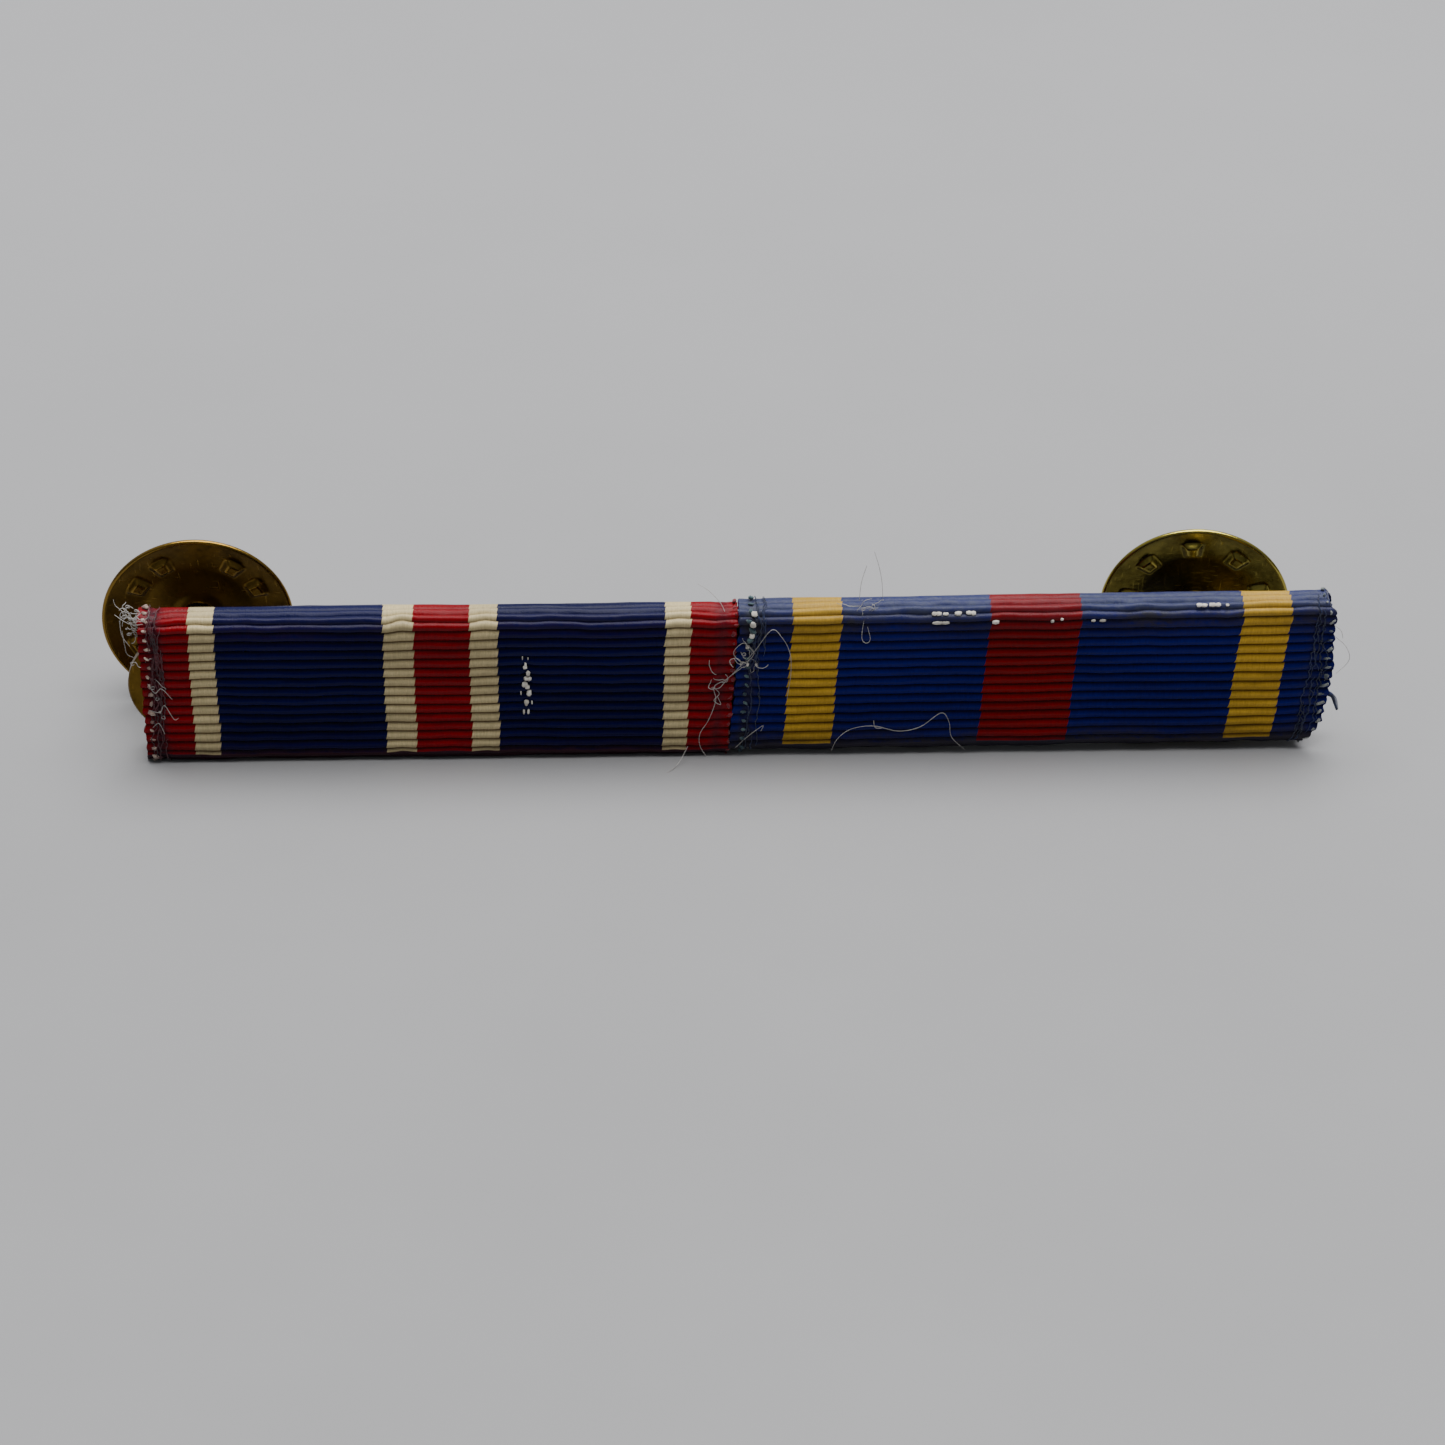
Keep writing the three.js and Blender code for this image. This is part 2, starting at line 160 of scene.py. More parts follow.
def build_mesh(name: str, vertices: np.ndarray, faces: np.ndarray,
               smooth: bool = True) -> bpy.types.Object:
    """Put arrays of points and quads into a new object at the origin.

    Args:
        name: the object's name.
        vertices: (n, 3) in metres.
        faces: (m, 4) vertex numbers.
        smooth: whether faces are shaded smooth.

    Returns:
        The new object, with its faces turned outwards.
    """
    a, b, c, d = (vertices[faces[:, k]] for k in range(4))
    volume = (np.einsum("ij,ij->", np.cross(b - a, c - a), a)
              + np.einsum("ij,ij->", np.cross(c - a, d - a), a))
    if volume < 0:
        faces = faces[:, ::-1]
    mesh = bpy.data.meshes.new(name)
    mesh.vertices.add(len(vertices))
    mesh.vertices.foreach_set("co", np.ascontiguousarray(vertices, dtype=np.float32).ravel())
    mesh.loops.add(faces.size)
    mesh.loops.foreach_set("vertex_index", np.ascontiguousarray(faces, dtype=np.int32).ravel())
    mesh.polygons.add(len(faces))
    mesh.polygons.foreach_set("loop_start", np.arange(0, faces.size, 4, dtype=np.int32))
    mesh.update(calc_edges=True)
    mesh.validate()
    mesh.polygons.foreach_set("use_smooth", np.full(len(faces), smooth))
    piece = bpy.data.objects.new(name, mesh)
    bpy.context.scene.collection.objects.link(piece)
    return piece


def grid_faces(rows: int, columns: int, wrap_rows: bool, wrap_columns: bool) -> np.ndarray:
    """Quads between neighbouring points of a grid that is stored row by row.

    Args:
        rows: number of rows.
        columns: number of points in a row.
        wrap_rows: whether the last row joins the first.
        wrap_columns: whether each row's end joins its start.

    Returns:
        (m, 4) vertex numbers.
    """
    i = np.arange(rows if wrap_rows else rows - 1)[:, None]
    j = np.arange(columns if wrap_columns else columns - 1)[None, :]
    ni, nj = (i + 1) % rows, (j + 1) % columns
    quads = [i * columns + j, ni * columns + j, ni * columns + nj, i * columns + nj]
    return np.stack([np.broadcast_to(q, (i.size, j.size)).ravel() for q in quads], axis=1)


def repeated(faces: np.ndarray, count: int, points: int) -> np.ndarray:
    """The same faces for each copy of a shape whose copies are stored one after another.

    Args:
        faces: (m, 4) vertex numbers of the first copy.
        count: number of copies.
        points: vertices in each copy.

    Returns:
        (count * m, 4) vertex numbers.
    """
    return (faces[None] + (np.arange(count) * points)[:, None, None]).reshape(-1, 4)


def add_uv(piece: bpy.types.Object, name: str, per_vertex: np.ndarray) -> None:
    """Give each corner its vertex's pattern coordinates.

    Args:
        piece: the object.
        name: the UV map's name.
        per_vertex: (n, 2) coordinates.
    """
    mesh = piece.data
    corners = np.empty(len(mesh.loops), dtype=np.int32)
    mesh.loops.foreach_get("vertex_index", corners)
    layer = mesh.uv_layers.new(name=name)
    layer.data.foreach_set("uv", per_vertex[corners].astype(np.float32).ravel())


def add_value(piece: bpy.types.Object, name: str, per_vertex: np.ndarray) -> None:
    """Store one number on each vertex for the finish to read."""
    layer = piece.data.attributes.new(name, "FLOAT", "POINT")
    layer.data.foreach_set("value", per_vertex.astype(np.float32).ravel())


def curve_through(points: tuple[Point, ...], steps: int) -> np.ndarray:
    """A smooth path through given points: a Catmull-Rom spline, evenly sampled.

    Args:
        points: the points it passes through.
        steps: number of points on the path.

    Returns:
        (steps, 3) path.
    """
    p = np.array(points, dtype=float)
    p = np.vstack([2 * p[0] - p[1], p, 2 * p[-1] - p[-2]])
    t = np.linspace(0, len(points) - 1 - 1e-9, steps)
    i = np.floor(t).astype(int)
    f = (t - i)[:, None]
    a, b, c, d = p[i], p[i + 1], p[i + 2], p[i + 3]
    square, cube = 2 * a - 5 * b + 4 * c - d, 3 * b - 3 * c + d - a
    return 0.5 * (2 * b + (c - a) * f + square * f**2 + cube * f**3)


def thread_mesh(name: str, paths: np.ndarray, radii: np.ndarray, sides: int) -> bpy.types.Object:
    """Round threads: a circle carried along each path, its ends drawn to a point.

    Args:
        name: the object's name.
        paths: (threads, stations, 3) centre lines, in metres.
        radii: (threads, stations) radii, in metres; the first and last are 0.
        sides: points round each thread.

    Returns:
        One object that holds every thread.
    """
    count, stations, _ = paths.shape
    tangent = np.gradient(paths, axis=1)
    tangent /= np.linalg.norm(tangent, axis=2, keepdims=True) + 1e-12
    mean = np.abs(tangent).mean(axis=1)
    reference = np.eye(3)[np.argmin(mean, axis=1)][:, None, :]
    side = np.cross(tangent, reference)
    side /= np.linalg.norm(side, axis=2, keepdims=True) + 1e-12
    other = np.cross(tangent, side)
    angle = np.linspace(0, 2 * np.pi, sides, endpoint=False)
    ring = (side[:, :, None] * np.cos(angle)[None, None, :, None]
            + other[:, :, None] * np.sin(angle)[None, None, :, None])
    points = paths[:, :, None] + ring * radii[:, :, None, None]
    faces = repeated(grid_faces(stations, sides, False, True), count, stations * sides)
    piece = build_mesh(name, points.reshape(-1, 3), faces)
    close_tips(piece)
    return piece


def close_tips(piece: bpy.types.Object) -> None:
    """Merge the points that meet at each thread's or bead's tip, and turn faces out.

    Args:
        piece: the threads or beads as they were built.
    """
    work = bmesh.new()
    work.from_mesh(piece.data)
    bmesh.ops.remove_doubles(work, verts=work.verts, dist=1e-9)
    bmesh.ops.dissolve_degenerate(work, edges=work.edges, dist=1e-9)
    bmesh.ops.recalc_face_normals(work, faces=work.faces)
    work.to_mesh(piece.data)
    work.free()


def taper(stations: int, radius: np.ndarray, soft: float) -> np.ndarray:
    """A thread's radius along its length: full in the middle, zero at both tips.

    Args:
        stations: points along each thread.
        radius: each thread's radius in its middle.
        soft: power of the sine along the thread; a small one keeps the tips blunt.

    Returns:
        One radius for each thread and station.
    """
    t = np.linspace(0, 1, stations)
    shape = np.sin(np.pi * t) ** soft
    shape[[0, -1]] = 0.0
    return radius[..., None] * shape


# ------------------------------------------------------------------- finishes


def set_range(node: bpy.types.Node, start: float, end: float, low: float, high: float) -> None:
    """Set a Map Range node to go from low to high as its value goes from start to end.

    Args:
        node: the Map Range node.
        start: value at which the change begins.
        end: value at which it is over.
        low: result at the start.
        high: result at the end.
    """
    node.inputs["From Min"].default_value = start
    node.inputs["From Max"].default_value = end
    node.inputs["To Min"].default_value = low
    node.inputs["To Max"].default_value = high


class Shade:
    """A short hand for one material's node tree."""

    def __init__(self, name: str) -> None:
        """Start an empty material with a Principled shader on its output.

        Args:
            name: the material's name.
        """
        self.material = bpy.data.materials.new(name)
        self.material.use_nodes = True
        self.tree = self.material.node_tree
        self.shader = self.tree.nodes["Principled BSDF"]

    def node(self, kind: str, **settings: object) -> bpy.types.Node:
        """Add a node and set its properties.

        Args:
            kind: Blender's name for the type of node.
            settings: its properties by name.

        Returns:
            The node.
        """
        node = self.tree.nodes.new(kind)
        for key, value in settings.items():
            setattr(node, key, value)
        return node

    def feed(self, socket: Socket, value: object) -> None:
        """Link a socket to another, or set its value.

        Args:
            socket: the input.
            value: the output to link to it, or a plain value.
        """
        if isinstance(value, Socket):
            self.tree.links.new(value, socket)
        else:
            socket.default_value = value

    def math(self, operation: str, a: object, b: object = 0.0,
             clamp: bool = False) -> Socket:
        """One arithmetic step.

        Args:
            operation: Blender's name for the step.
            a: first number or socket.
            b: second number or socket.
            clamp: whether to keep the result from 0 to 1.

        Returns:
            The result.
        """
        node = self.node("ShaderNodeMath", operation=operation, use_clamp=clamp)
        self.feed(node.inputs[0], a)
        self.feed(node.inputs[1], b)
        return node.outputs[0]

    def ramp(self, value: object, start: float, end: float, low: float = 0.0,
             high: float = 1.0) -> Socket:
        """An eased change from low to high as a value goes from start to end.

        Args:
            value: the number or socket that changes.
            start: its value at the beginning.
            end: its value when the change is over.
            low: result at the start.
            high: result at the end.

        Returns:
            The result.
        """
        node = self.node("ShaderNodeMapRange", interpolation_type="SMOOTHSTEP")
        self.feed(node.inputs["Value"], value)
        set_range(node, start, end, low, high)
        return node.outputs[0]

    def mix(self, factor: object, a: object, b: object, blend: str = "MIX") -> Socket:
        """Mix two colours.

        Args:
            factor: share of the second colour, 0 to 1.
            a: first colour.
            b: second colour.
            blend: Blender's name for the way of mixing.

        Returns:
            The mixed colour.
        """
        node = self.node("ShaderNodeMix", data_type="RGBA", blend_type=blend)
        self.feed(node.inputs[0], factor)
        self.feed(node.inputs[6], a)
        self.feed(node.inputs[7], b)
        return node.outputs[2]

    def scaled(self, vector: object, scale: Point) -> Socket:
        """A vector with each part multiplied.

        Args:
            vector: the vector.
            scale: factor along each of its three axes.

        Returns:
            The product.
        """
        node = self.node("ShaderNodeVectorMath", operation="MULTIPLY")
        self.feed(node.inputs[0], vector)
        node.inputs[1].default_value = scale
        return node.outputs[0]

    def noise(self, vector: object, scale: float, detail: float,
              rough: float = 0.5) -> Socket:
        """Fractal noise from 0 to 1.

        Args:
            vector: where to read the noise.
            scale: how fine it is.
            detail: how many finer layers it has.
            rough: how strong each finer layer is.

        Returns:
            The noise.
        """
        node = self.node("ShaderNodeTexNoise")
        self.feed(node.inputs["Vector"], vector)
        node.inputs["Scale"].default_value = scale
        node.inputs["Detail"].default_value = detail
        node.inputs["Roughness"].default_value = rough
        return node.outputs["Fac"]

    def stored(self, name: str) -> Socket:
        """A number stored on the piece's vertices."""
        return self.node("ShaderNodeAttribute", attribute_name=name).outputs["Fac"]

    def bump(self, height: object, distance: float, strength: float = 1.0) -> None:
        """Feed the shader's normal from a height.

        Args:
            height: the height.
            distance: what a height of 1 stands for, in metres.
            strength: how far it turns the normal, 0 to 1.
        """
        node = self.node("ShaderNodeBump")
        self.feed(node.inputs["Height"], height)
        node.inputs["Distance"].default_value = distance
        node.inputs["Strength"].default_value = strength
        self.feed(self.shader.inputs["Normal"], node.outputs[0])

    def set(self, **values: object) -> None:
        """Set or link the shader's inputs, with underscores for spaces."""
        for key, value in values.items():
            self.feed(self.shader.inputs[key.replace("_", " ")], value)


def rgba(colour: Colour) -> tuple[float, float, float, float]:
    """A colour with full alpha."""
    return (*colour, 1.0)


class Dye(Enum):
    """The colours that the warp threads are dyed, as linear reflectance."""

    CRIMSON = (0.215, 0.0008, 0.0045)
    CREAM = (0.56, 0.46, 0.25)
    NAVY = (0.0008, 0.0016, 0.046)
    ULTRAMARINE = (0.0010, 0.0035, 0.110)
    GOLD = (0.48, 0.285, 0.026)
    SCARLET = (0.190, 0.0003, 0.0012)


RIB_JOG = 0.0036  # how far a stripe's edge steps aside across one rib, as a share of the width
RIB_SCATTER = 0.007  # and how far it differs from rib to rib
# painted shade in the grooves, partly grime, as the share of each colour left there
GROOVE_SHADE: Colour = (0.13, 0.075, 0.045)  # the share of each colour that is left in a groove
# colour of the grey film on the upper side: partly dust, partly painted sheen
DUST_AND_SHEEN: Colour = (0.085, 0.098, 0.125)


@dataclass(frozen=True)
class RibbedCloth:
    """Ribbed rayon with dyed warp stripes over pale weft cords.

    Attributes:
        name: the material's name.
        stripes: dye and width in millimetres of each stripe, from the left.
        soil: the colour that worn and handled places take, also painted as shade under the lower fold.
        soil_strength: how strongly they take it.
    """

    name: str
    stripes: tuple[tuple[Dye, float], ...]
    soil: Colour
    soil_strength: float

    def material(self, ribs: int) -> bpy.types.Material:
        """Stripes from the cloth's own width, painted groove shade, fine warp threads and wear,
        with painted shade under the lower fold and dust with painted sheen on top.

        Args:
            ribs: how many ribs there are along the whole folded length.

        Returns:
            The finished material.
        """
        shade = Shade(self.name)
        uv = shade.node("ShaderNodeUVMap", uv_map="cloth").outputs[0]
        split = shade.node("ShaderNodeSeparateXYZ")
        shade.feed(split.inputs[0], uv)
        rib = shade.math("MULTIPLY", split.outputs[1], float(ribs))
        phase = shade.math("FRACT", rib)
        threads = shade.noise(shade.scaled(uv, (330.0, 26.0, 1.0)), 1.0, 2.0, 0.6)
        fine = shade.noise(shade.scaled(uv, (900.0, 140.0, 1.0)), 1.0, 1.0, 0.5)
        dye = self._stripes(shade, self._jogged(shade, split.outputs[0], rib, phase))
        colour = self._weave(shade, uv, dye, threads, fine)
        colour = self._groove_shade(shade, colour, phase)
        colour = self._dirt_and_painted_light(shade, uv, colour, dye)
        shade.set(Base_Color=colour, Roughness=shade.ramp(threads, 0.2, 0.8, 0.13, 0.24))
        shade.shader.inputs["Specular IOR Level"].default_value = 0.11
        shade.bump(shade.math("ADD", threads, shade.math("MULTIPLY", fine, 0.5)), 0.05 * MM, 0.45)
        return shade.material

    @staticmethod
    def _jogged(shade: Shade, across: Socket, rib: Socket, phase: Socket) -> Socket:
        """The place across the cloth, leaning over each rib and scattered from rib to rib.

        Args:
            shade: the material being built.
            across: position across the cloth, 0 to 1.
            rib: ribs counted along the cloth.
            phase: place on the rib, 0 to 1.

        Returns:
            The shifted position.
        """
        lane = shade.node("ShaderNodeCombineXYZ")
        shade.feed(lane.inputs[0], shade.math("FLOOR", rib))
        uneven = shade.noise(lane.outputs[0], 7.3, 0.0)
        jog = shade.math("MULTIPLY", shade.math("SUBTRACT", phase, 0.5), RIB_JOG)
        scatter = shade.math("MULTIPLY", shade.math("SUBTRACT", uneven, 0.5), RIB_SCATTER)
        return shade.math("ADD", across, shade.math("ADD", jog, scatter))

    def _weave(self, shade: Shade, uv: Socket, dye: Socket, threads: Socket, fine: Socket) -> Socket:
        """The dye, streaked along its warp threads and darker in slow patches.

        Args:
            shade: the material being built.
            uv: the cloth's own map.
            dye: the stripe's colour.
            threads: noise drawn out along the warp.
            fine: the same, finer.

        Returns:
            The threads' colour.
        """
        coarse = shade.math("MULTIPLY", threads, 0.6)
        streak = shade.math("ADD", coarse, shade.math("MULTIPLY", fine, 0.4))
        bright = self._grey(shade, shade.math("ADD", streak, 0.5))
        colour = shade.mix(1.0, dye, bright, "MULTIPLY")
        wander = shade.noise(shade.scaled(uv, (3.0, 9.0, 1.0)), 1.0, 1.0)
        return shade.mix(shade.ramp(wander, 0.35, 0.7, 0.0, 0.25), colour, rgba((0.0, 0.0, 0.0)))

    @staticmethod
    def _groove_shade(shade: Shade, colour: Socket, phase: Socket) -> Socket:
        """Painted shade, partly grime, where two ribs meet; less where the cloth is stretched over a fold.

        Args:
            shade: the material being built.
            colour: the threads' colour.
            phase: place on the rib, 0 to 1.

        Returns:
            The colour with its painted groove shade.
        """
        double = shade.math("MULTIPLY", phase, 2.0)
        edge = shade.math("ABSOLUTE", shade.math("SUBTRACT", double, 1.0))
        stretched = shade.ramp(shade.stored("dust_and_sheen"), 0.01, 0.07, 1.0, 0.3)
        # painted shade, partly grime, deepest at the bottom of each groove
        groove_shade = shade.math("MULTIPLY", shade.math("POWER", edge, 5.0), stretched)
        return shade.mix(groove_shade, colour, shade.mix(1.0, colour, rgba(GROOVE_SHADE), "MULTIPLY"))

    def _dirt_and_painted_light(self, shade: Shade, uv: Socket, colour: Socket, dye: Socket) -> Socket:
        """Soil where the cloth is worn or frayed, then dust with painted sheen; both show mainly on the
        blues. Painted shade darkens every stripe under the lower fold.

        Args:
            shade: the material being built.
            uv: the cloth's own map.
            colour: the colour of the clean cloth.
            dye: the stripe's colour, which tells how blue it is.

        Returns:
            The colour of the worn cloth, with its painted shade and sheen.
        """
        patchy = shade.noise(shade.scaled(uv, (60.0, 50.0, 1.0)), 1.0, 3.0, 0.65)
        wear_and_under_shade = shade.stored("wear_and_under_shade")
        red = shade.node("ShaderNodeSeparateColor")
        shade.feed(red.inputs[0], dye)
        blue_only = shade.ramp(red.outputs[0], 0.01, 0.12, 1.0, 0.25)
        worn = shade.math("MULTIPLY", wear_and_under_shade, shade.ramp(patchy, 0.25, 0.6, 0.35, 1.0))
        worn = shade.math("MULTIPLY", shade.math("MULTIPLY", worn, blue_only), self.soil_strength)
        # painted shade: where the mask is full, under the lower fold, every stripe takes the soil colour
        worn = shade.math("ADD", worn, shade.ramp(wear_and_under_shade, 0.92, 1.0))
        frayed = shade.math("MULTIPLY", shade.stored("fray"), shade.ramp(patchy, 0.25, 0.6, 0.4, 0.9))
        colour = shade.mix(shade.math("ADD", worn, frayed, clamp=True), colour, rgba(self.soil))
        # a pale film on the upper side: partly dust, partly painted sheen
        dust_and_sheen = shade.math("MULTIPLY", shade.stored("dust_and_sheen"), shade.ramp(patchy, 0.25, 0.75, 0.5, 1.0))
        return shade.mix(shade.math("MULTIPLY", dust_and_sheen, blue_only), colour, rgba(DUST_AND_SHEEN))

    def _stripes(self, shade: Shade, place: Socket) -> Socket:
        """Hard-edged stripes: a stepped ramp with one step for each stripe.

        Args:
            shade: the material being built.
            place: position across the cloth, 0 to 1.

        Returns:
            The dye's colour.
        """
        ramp = shade.node("ShaderNodeValToRGB")
        ramp.color_ramp.interpolation = "CONSTANT"
        total = sum(width for _, width in self.stripes)
        edge = 0.0
        for index, (dye, width) in enumerate(self.stripes):
            if index < 2:
                stop = ramp.color_ramp.elements[index]
                stop.position = edge / total
            else:
                stop = ramp.color_ramp.elements.new(edge / total)
            stop.color = rgba(dye.value)
            edge += width
        shade.feed(ramp.inputs[0], place)
        return ramp.outputs[0]

    @staticmethod
    def _grey(shade: Shade, value: Socket) -> Socket:
        """A grey of the given brightness.

        Args:
            shade: the material being built.
            value: the brightness.

        Returns:
            The grey.
        """
        node = shade.node("ShaderNodeCombineColor")
        for socket in node.inputs[:3]:
            shade.feed(socket, value)
        return node.outputs[0]


@dataclass(frozen=True)
class AgedBrass:
    """Brass with a dark patina, brighter scratches and rubbed edges.

    Attributes:
        name: the material's name.
        metal: colour where the metal is rubbed clean.
        patina: colour of the dark film.
        cover: how much of the surface the film covers, 0 to 1.
        roughness: of the film; rubbed metal is smoother.
        rubbed: whether the piece stores where its edges are rubbed.
    """

    name: str
    metal: Colour
    patina: Colour
    cover: float
    roughness: float
    rubbed: bool = False

    def material(self) -> bpy.types.Material:
        """Blotches of film from noise, thin scratches from stretched noise.

        Returns:
            The finished material.
        """
        shade = Shade(self.name)
        place = shade.node("ShaderNodeTexCoord").outputs["Object"]
        blotch = shade.noise(place, 260.0, 4.0, 0.6)
        fine = shade.noise(place, 2600.0, 3.0, 0.6)
        upright = shade.noise(shade.scaled(place, (9000.0, 1500.0, 900.0)), 1.0, 1.0, 0.4)
        level = shade.noise(shade.scaled(place, (1100.0, 1500.0, 8000.0)), 1.0, 1.0, 0.4)
        scratch = shade.math(
            "MAXIMUM", shade.ramp(upright, 0.68, 0.76), shade.ramp(level, 0.69, 0.77))
        mottle = shade.math("ADD", blotch, shade.math("MULTIPLY", fine, 0.25))
        film = shade.math("MULTIPLY", shade.ramp(mottle, 0.35, 0.80, 1.0, 0.35), self.cover)
        film = shade.math("SUBTRACT", film, shade.math("MULTIPLY", scratch, 0.5), clamp=True)
        if self.rubbed:
            kept = shade.math("SUBTRACT", 1.0, shade.stored("rubbed"), clamp=True)
            film = shade.math("MULTIPLY", film, kept)
        colour = shade.mix(film, rgba(self.metal), rgba(self.patina))
        rough = shade.ramp(film, 0.0, 1.0, self.roughness * 0.55, self.roughness)
        shade.set(Base_Color=colour, Roughness=rough, Metallic=1.0)
        shade.bump(shade.math("ADD", fine, shade.math("MULTIPLY", scratch, -0.4)), 0.02 * MM, 0.6)
        return shade.material


@dataclass(frozen=True)
class SpunThread:
    """Cotton or rayon thread: two tones in fine noise, matt.

    Attributes:
        name: the material's name.
        light: the paler tone.
        dark: the soiled tone.
        alpha: how solid it looks; thin lint lets light through.
    """

    name: str
    light: Colour
    dark: Colour
    alpha: float = 1.0

    def material(self) -> bpy.types.Material:
        """Soil in noise over the thread's colour.

        Returns:
            The finished material.
        """
        shade = Shade(self.name)
        place = shade.node("ShaderNodeTexCoord").outputs["Object"]
        soil = shade.noise(place, 1400.0, 3.0, 0.6)
        fuzz = shade.noise(place, 14000.0, 2.0, 0.6)
        shade.set(Base_Color=shade.mix(shade.ramp(soil, 0.35, 0.65), rgba(self.light), rgba(self.dark)))
        shade.shader.inputs["Roughness"].default_value = 0.85
        shade.shader.inputs["Sheen Weight"].default_value = 0.2
        shade.shader.inputs["Alpha"].default_value = self.alpha
        shade.bump(fuzz, 0.03 * MM, 0.7)
        return shade.material


# ----------------------------------------------------------------- the ribbon


@dataclass(frozen=True)
class FoldPath:
    """The way the cloth goes round its carrier, from its upper hem to its lower one.

    It goes up the back, over the top, down the face, under, and up the back again.

    It is a circle of the fold's radius rolled along a smaller rectangle, so each
    point is the circle's centre plus the radius along the outward normal.

    Attributes:
        half_height: half the bar's height, in millimetres.
        depth: from the face to the back folds.
        half_mouth: half the gap between the two back folds.
        radius: outer radius of each fold.
    """

    half_height: float = 5.05
    depth: float = 2.4
    half_mouth: float = 2.5
    radius: float = 0.75

    def knots(self) -> tuple[np.ndarray, np.ndarray, np.ndarray]:
        """Path length, circle centre and normal's angle at each change of the path.

        Returns:
            Lengths, (n, 2) centres as back and up, and angles from the back direction.
        """
        back, front = self.depth - self.radius, self.radius
        high, arc = self.half_height - self.radius, self.radius * math.pi / 2
        centres = [
            (back, self.half_mouth), (back, high), (back, high), (front, high), (front, high),
            (front, -high), (front, -high), (back, -high), (back, -high), (back, -self.half_mouth)]
        turns = [0, 0, 1, 1, 2, 2, 3, 3, 4, 4]
        steps = [0.0]
        for k in range(1, len(centres)):
            gone = math.dist(centres[k - 1], centres[k])
            steps.append(steps[-1] + (gone if turns[k] == turns[k - 1] else arc))
        return np.array(steps), np.array(centres), np.array(turns) * math.pi / 2

    def length(self) -> float:
        """The cloth's whole length round the carrier."""
        return float(self.knots()[0][-1])

    def at(self, s: np.ndarray, rise: np.ndarray | float = 0.0) -> np.ndarray:
        """Points on the path, moved outwards by a rise.

        Args:
            s: path length, in millimetres.
            rise: distance out from the path, negative for inwards.

        Returns:
            (..., 2) back and up, in millimetres.
        """
        steps, centres, angles = self.knots()
        angle = np.interp(s, steps, angles)
        reach = self.radius + rise
        back = np.interp(s, steps, centres[:, 0]) + reach * np.cos(angle)
        up = np.interp(s, steps, centres[:, 1]) + reach * np.sin(angle)
        return np.stack([back, up], axis=-1)

    def face_start(self) -> float:
        """Path length where the flat face begins, at its top."""
        return float(self.knots()[0][4])

    def down_face(self, up: float) -> float:
        """Path length of a height on the flat face."""
        return self.face_start() + (self.half_height - self.radius) - up


@dataclass(frozen=True)
class EdgeShape:
    """How a ribbon's cut end departs from a straight one.

    Attributes:
        lean: how far the foot of the end lies to the left of its top, in millimetres.
        corner: how much the top corner is rounded off.
        nick: how much the bottom corner is worn away.
        ragged: size of the unevenness between ribs.
        band: how dark and broken the cloth is just inside the end, 0 to 1.
        flare: how far the end spreads outwards below the top fold.
        nick_zone: depths below the bar's middle between which the nick grows.
        corner_zone: heights above the middle between which the corner is rounded.
        flare_zone: depths between which the flare grows; negative is above the middle.
    """

    lean: float
    corner: float = 0.0
    nick: float = 0.0
    ragged: float = 0.05
    band: float = 0.0
    flare: float = 0.0
    nick_zone: tuple[float, float] = (2.9, 5.2)
    corner_zone: tuple[float, float] = (4.1, 5.2)
    flare_zone: tuple[float, float] = (-6.2, 0.0)


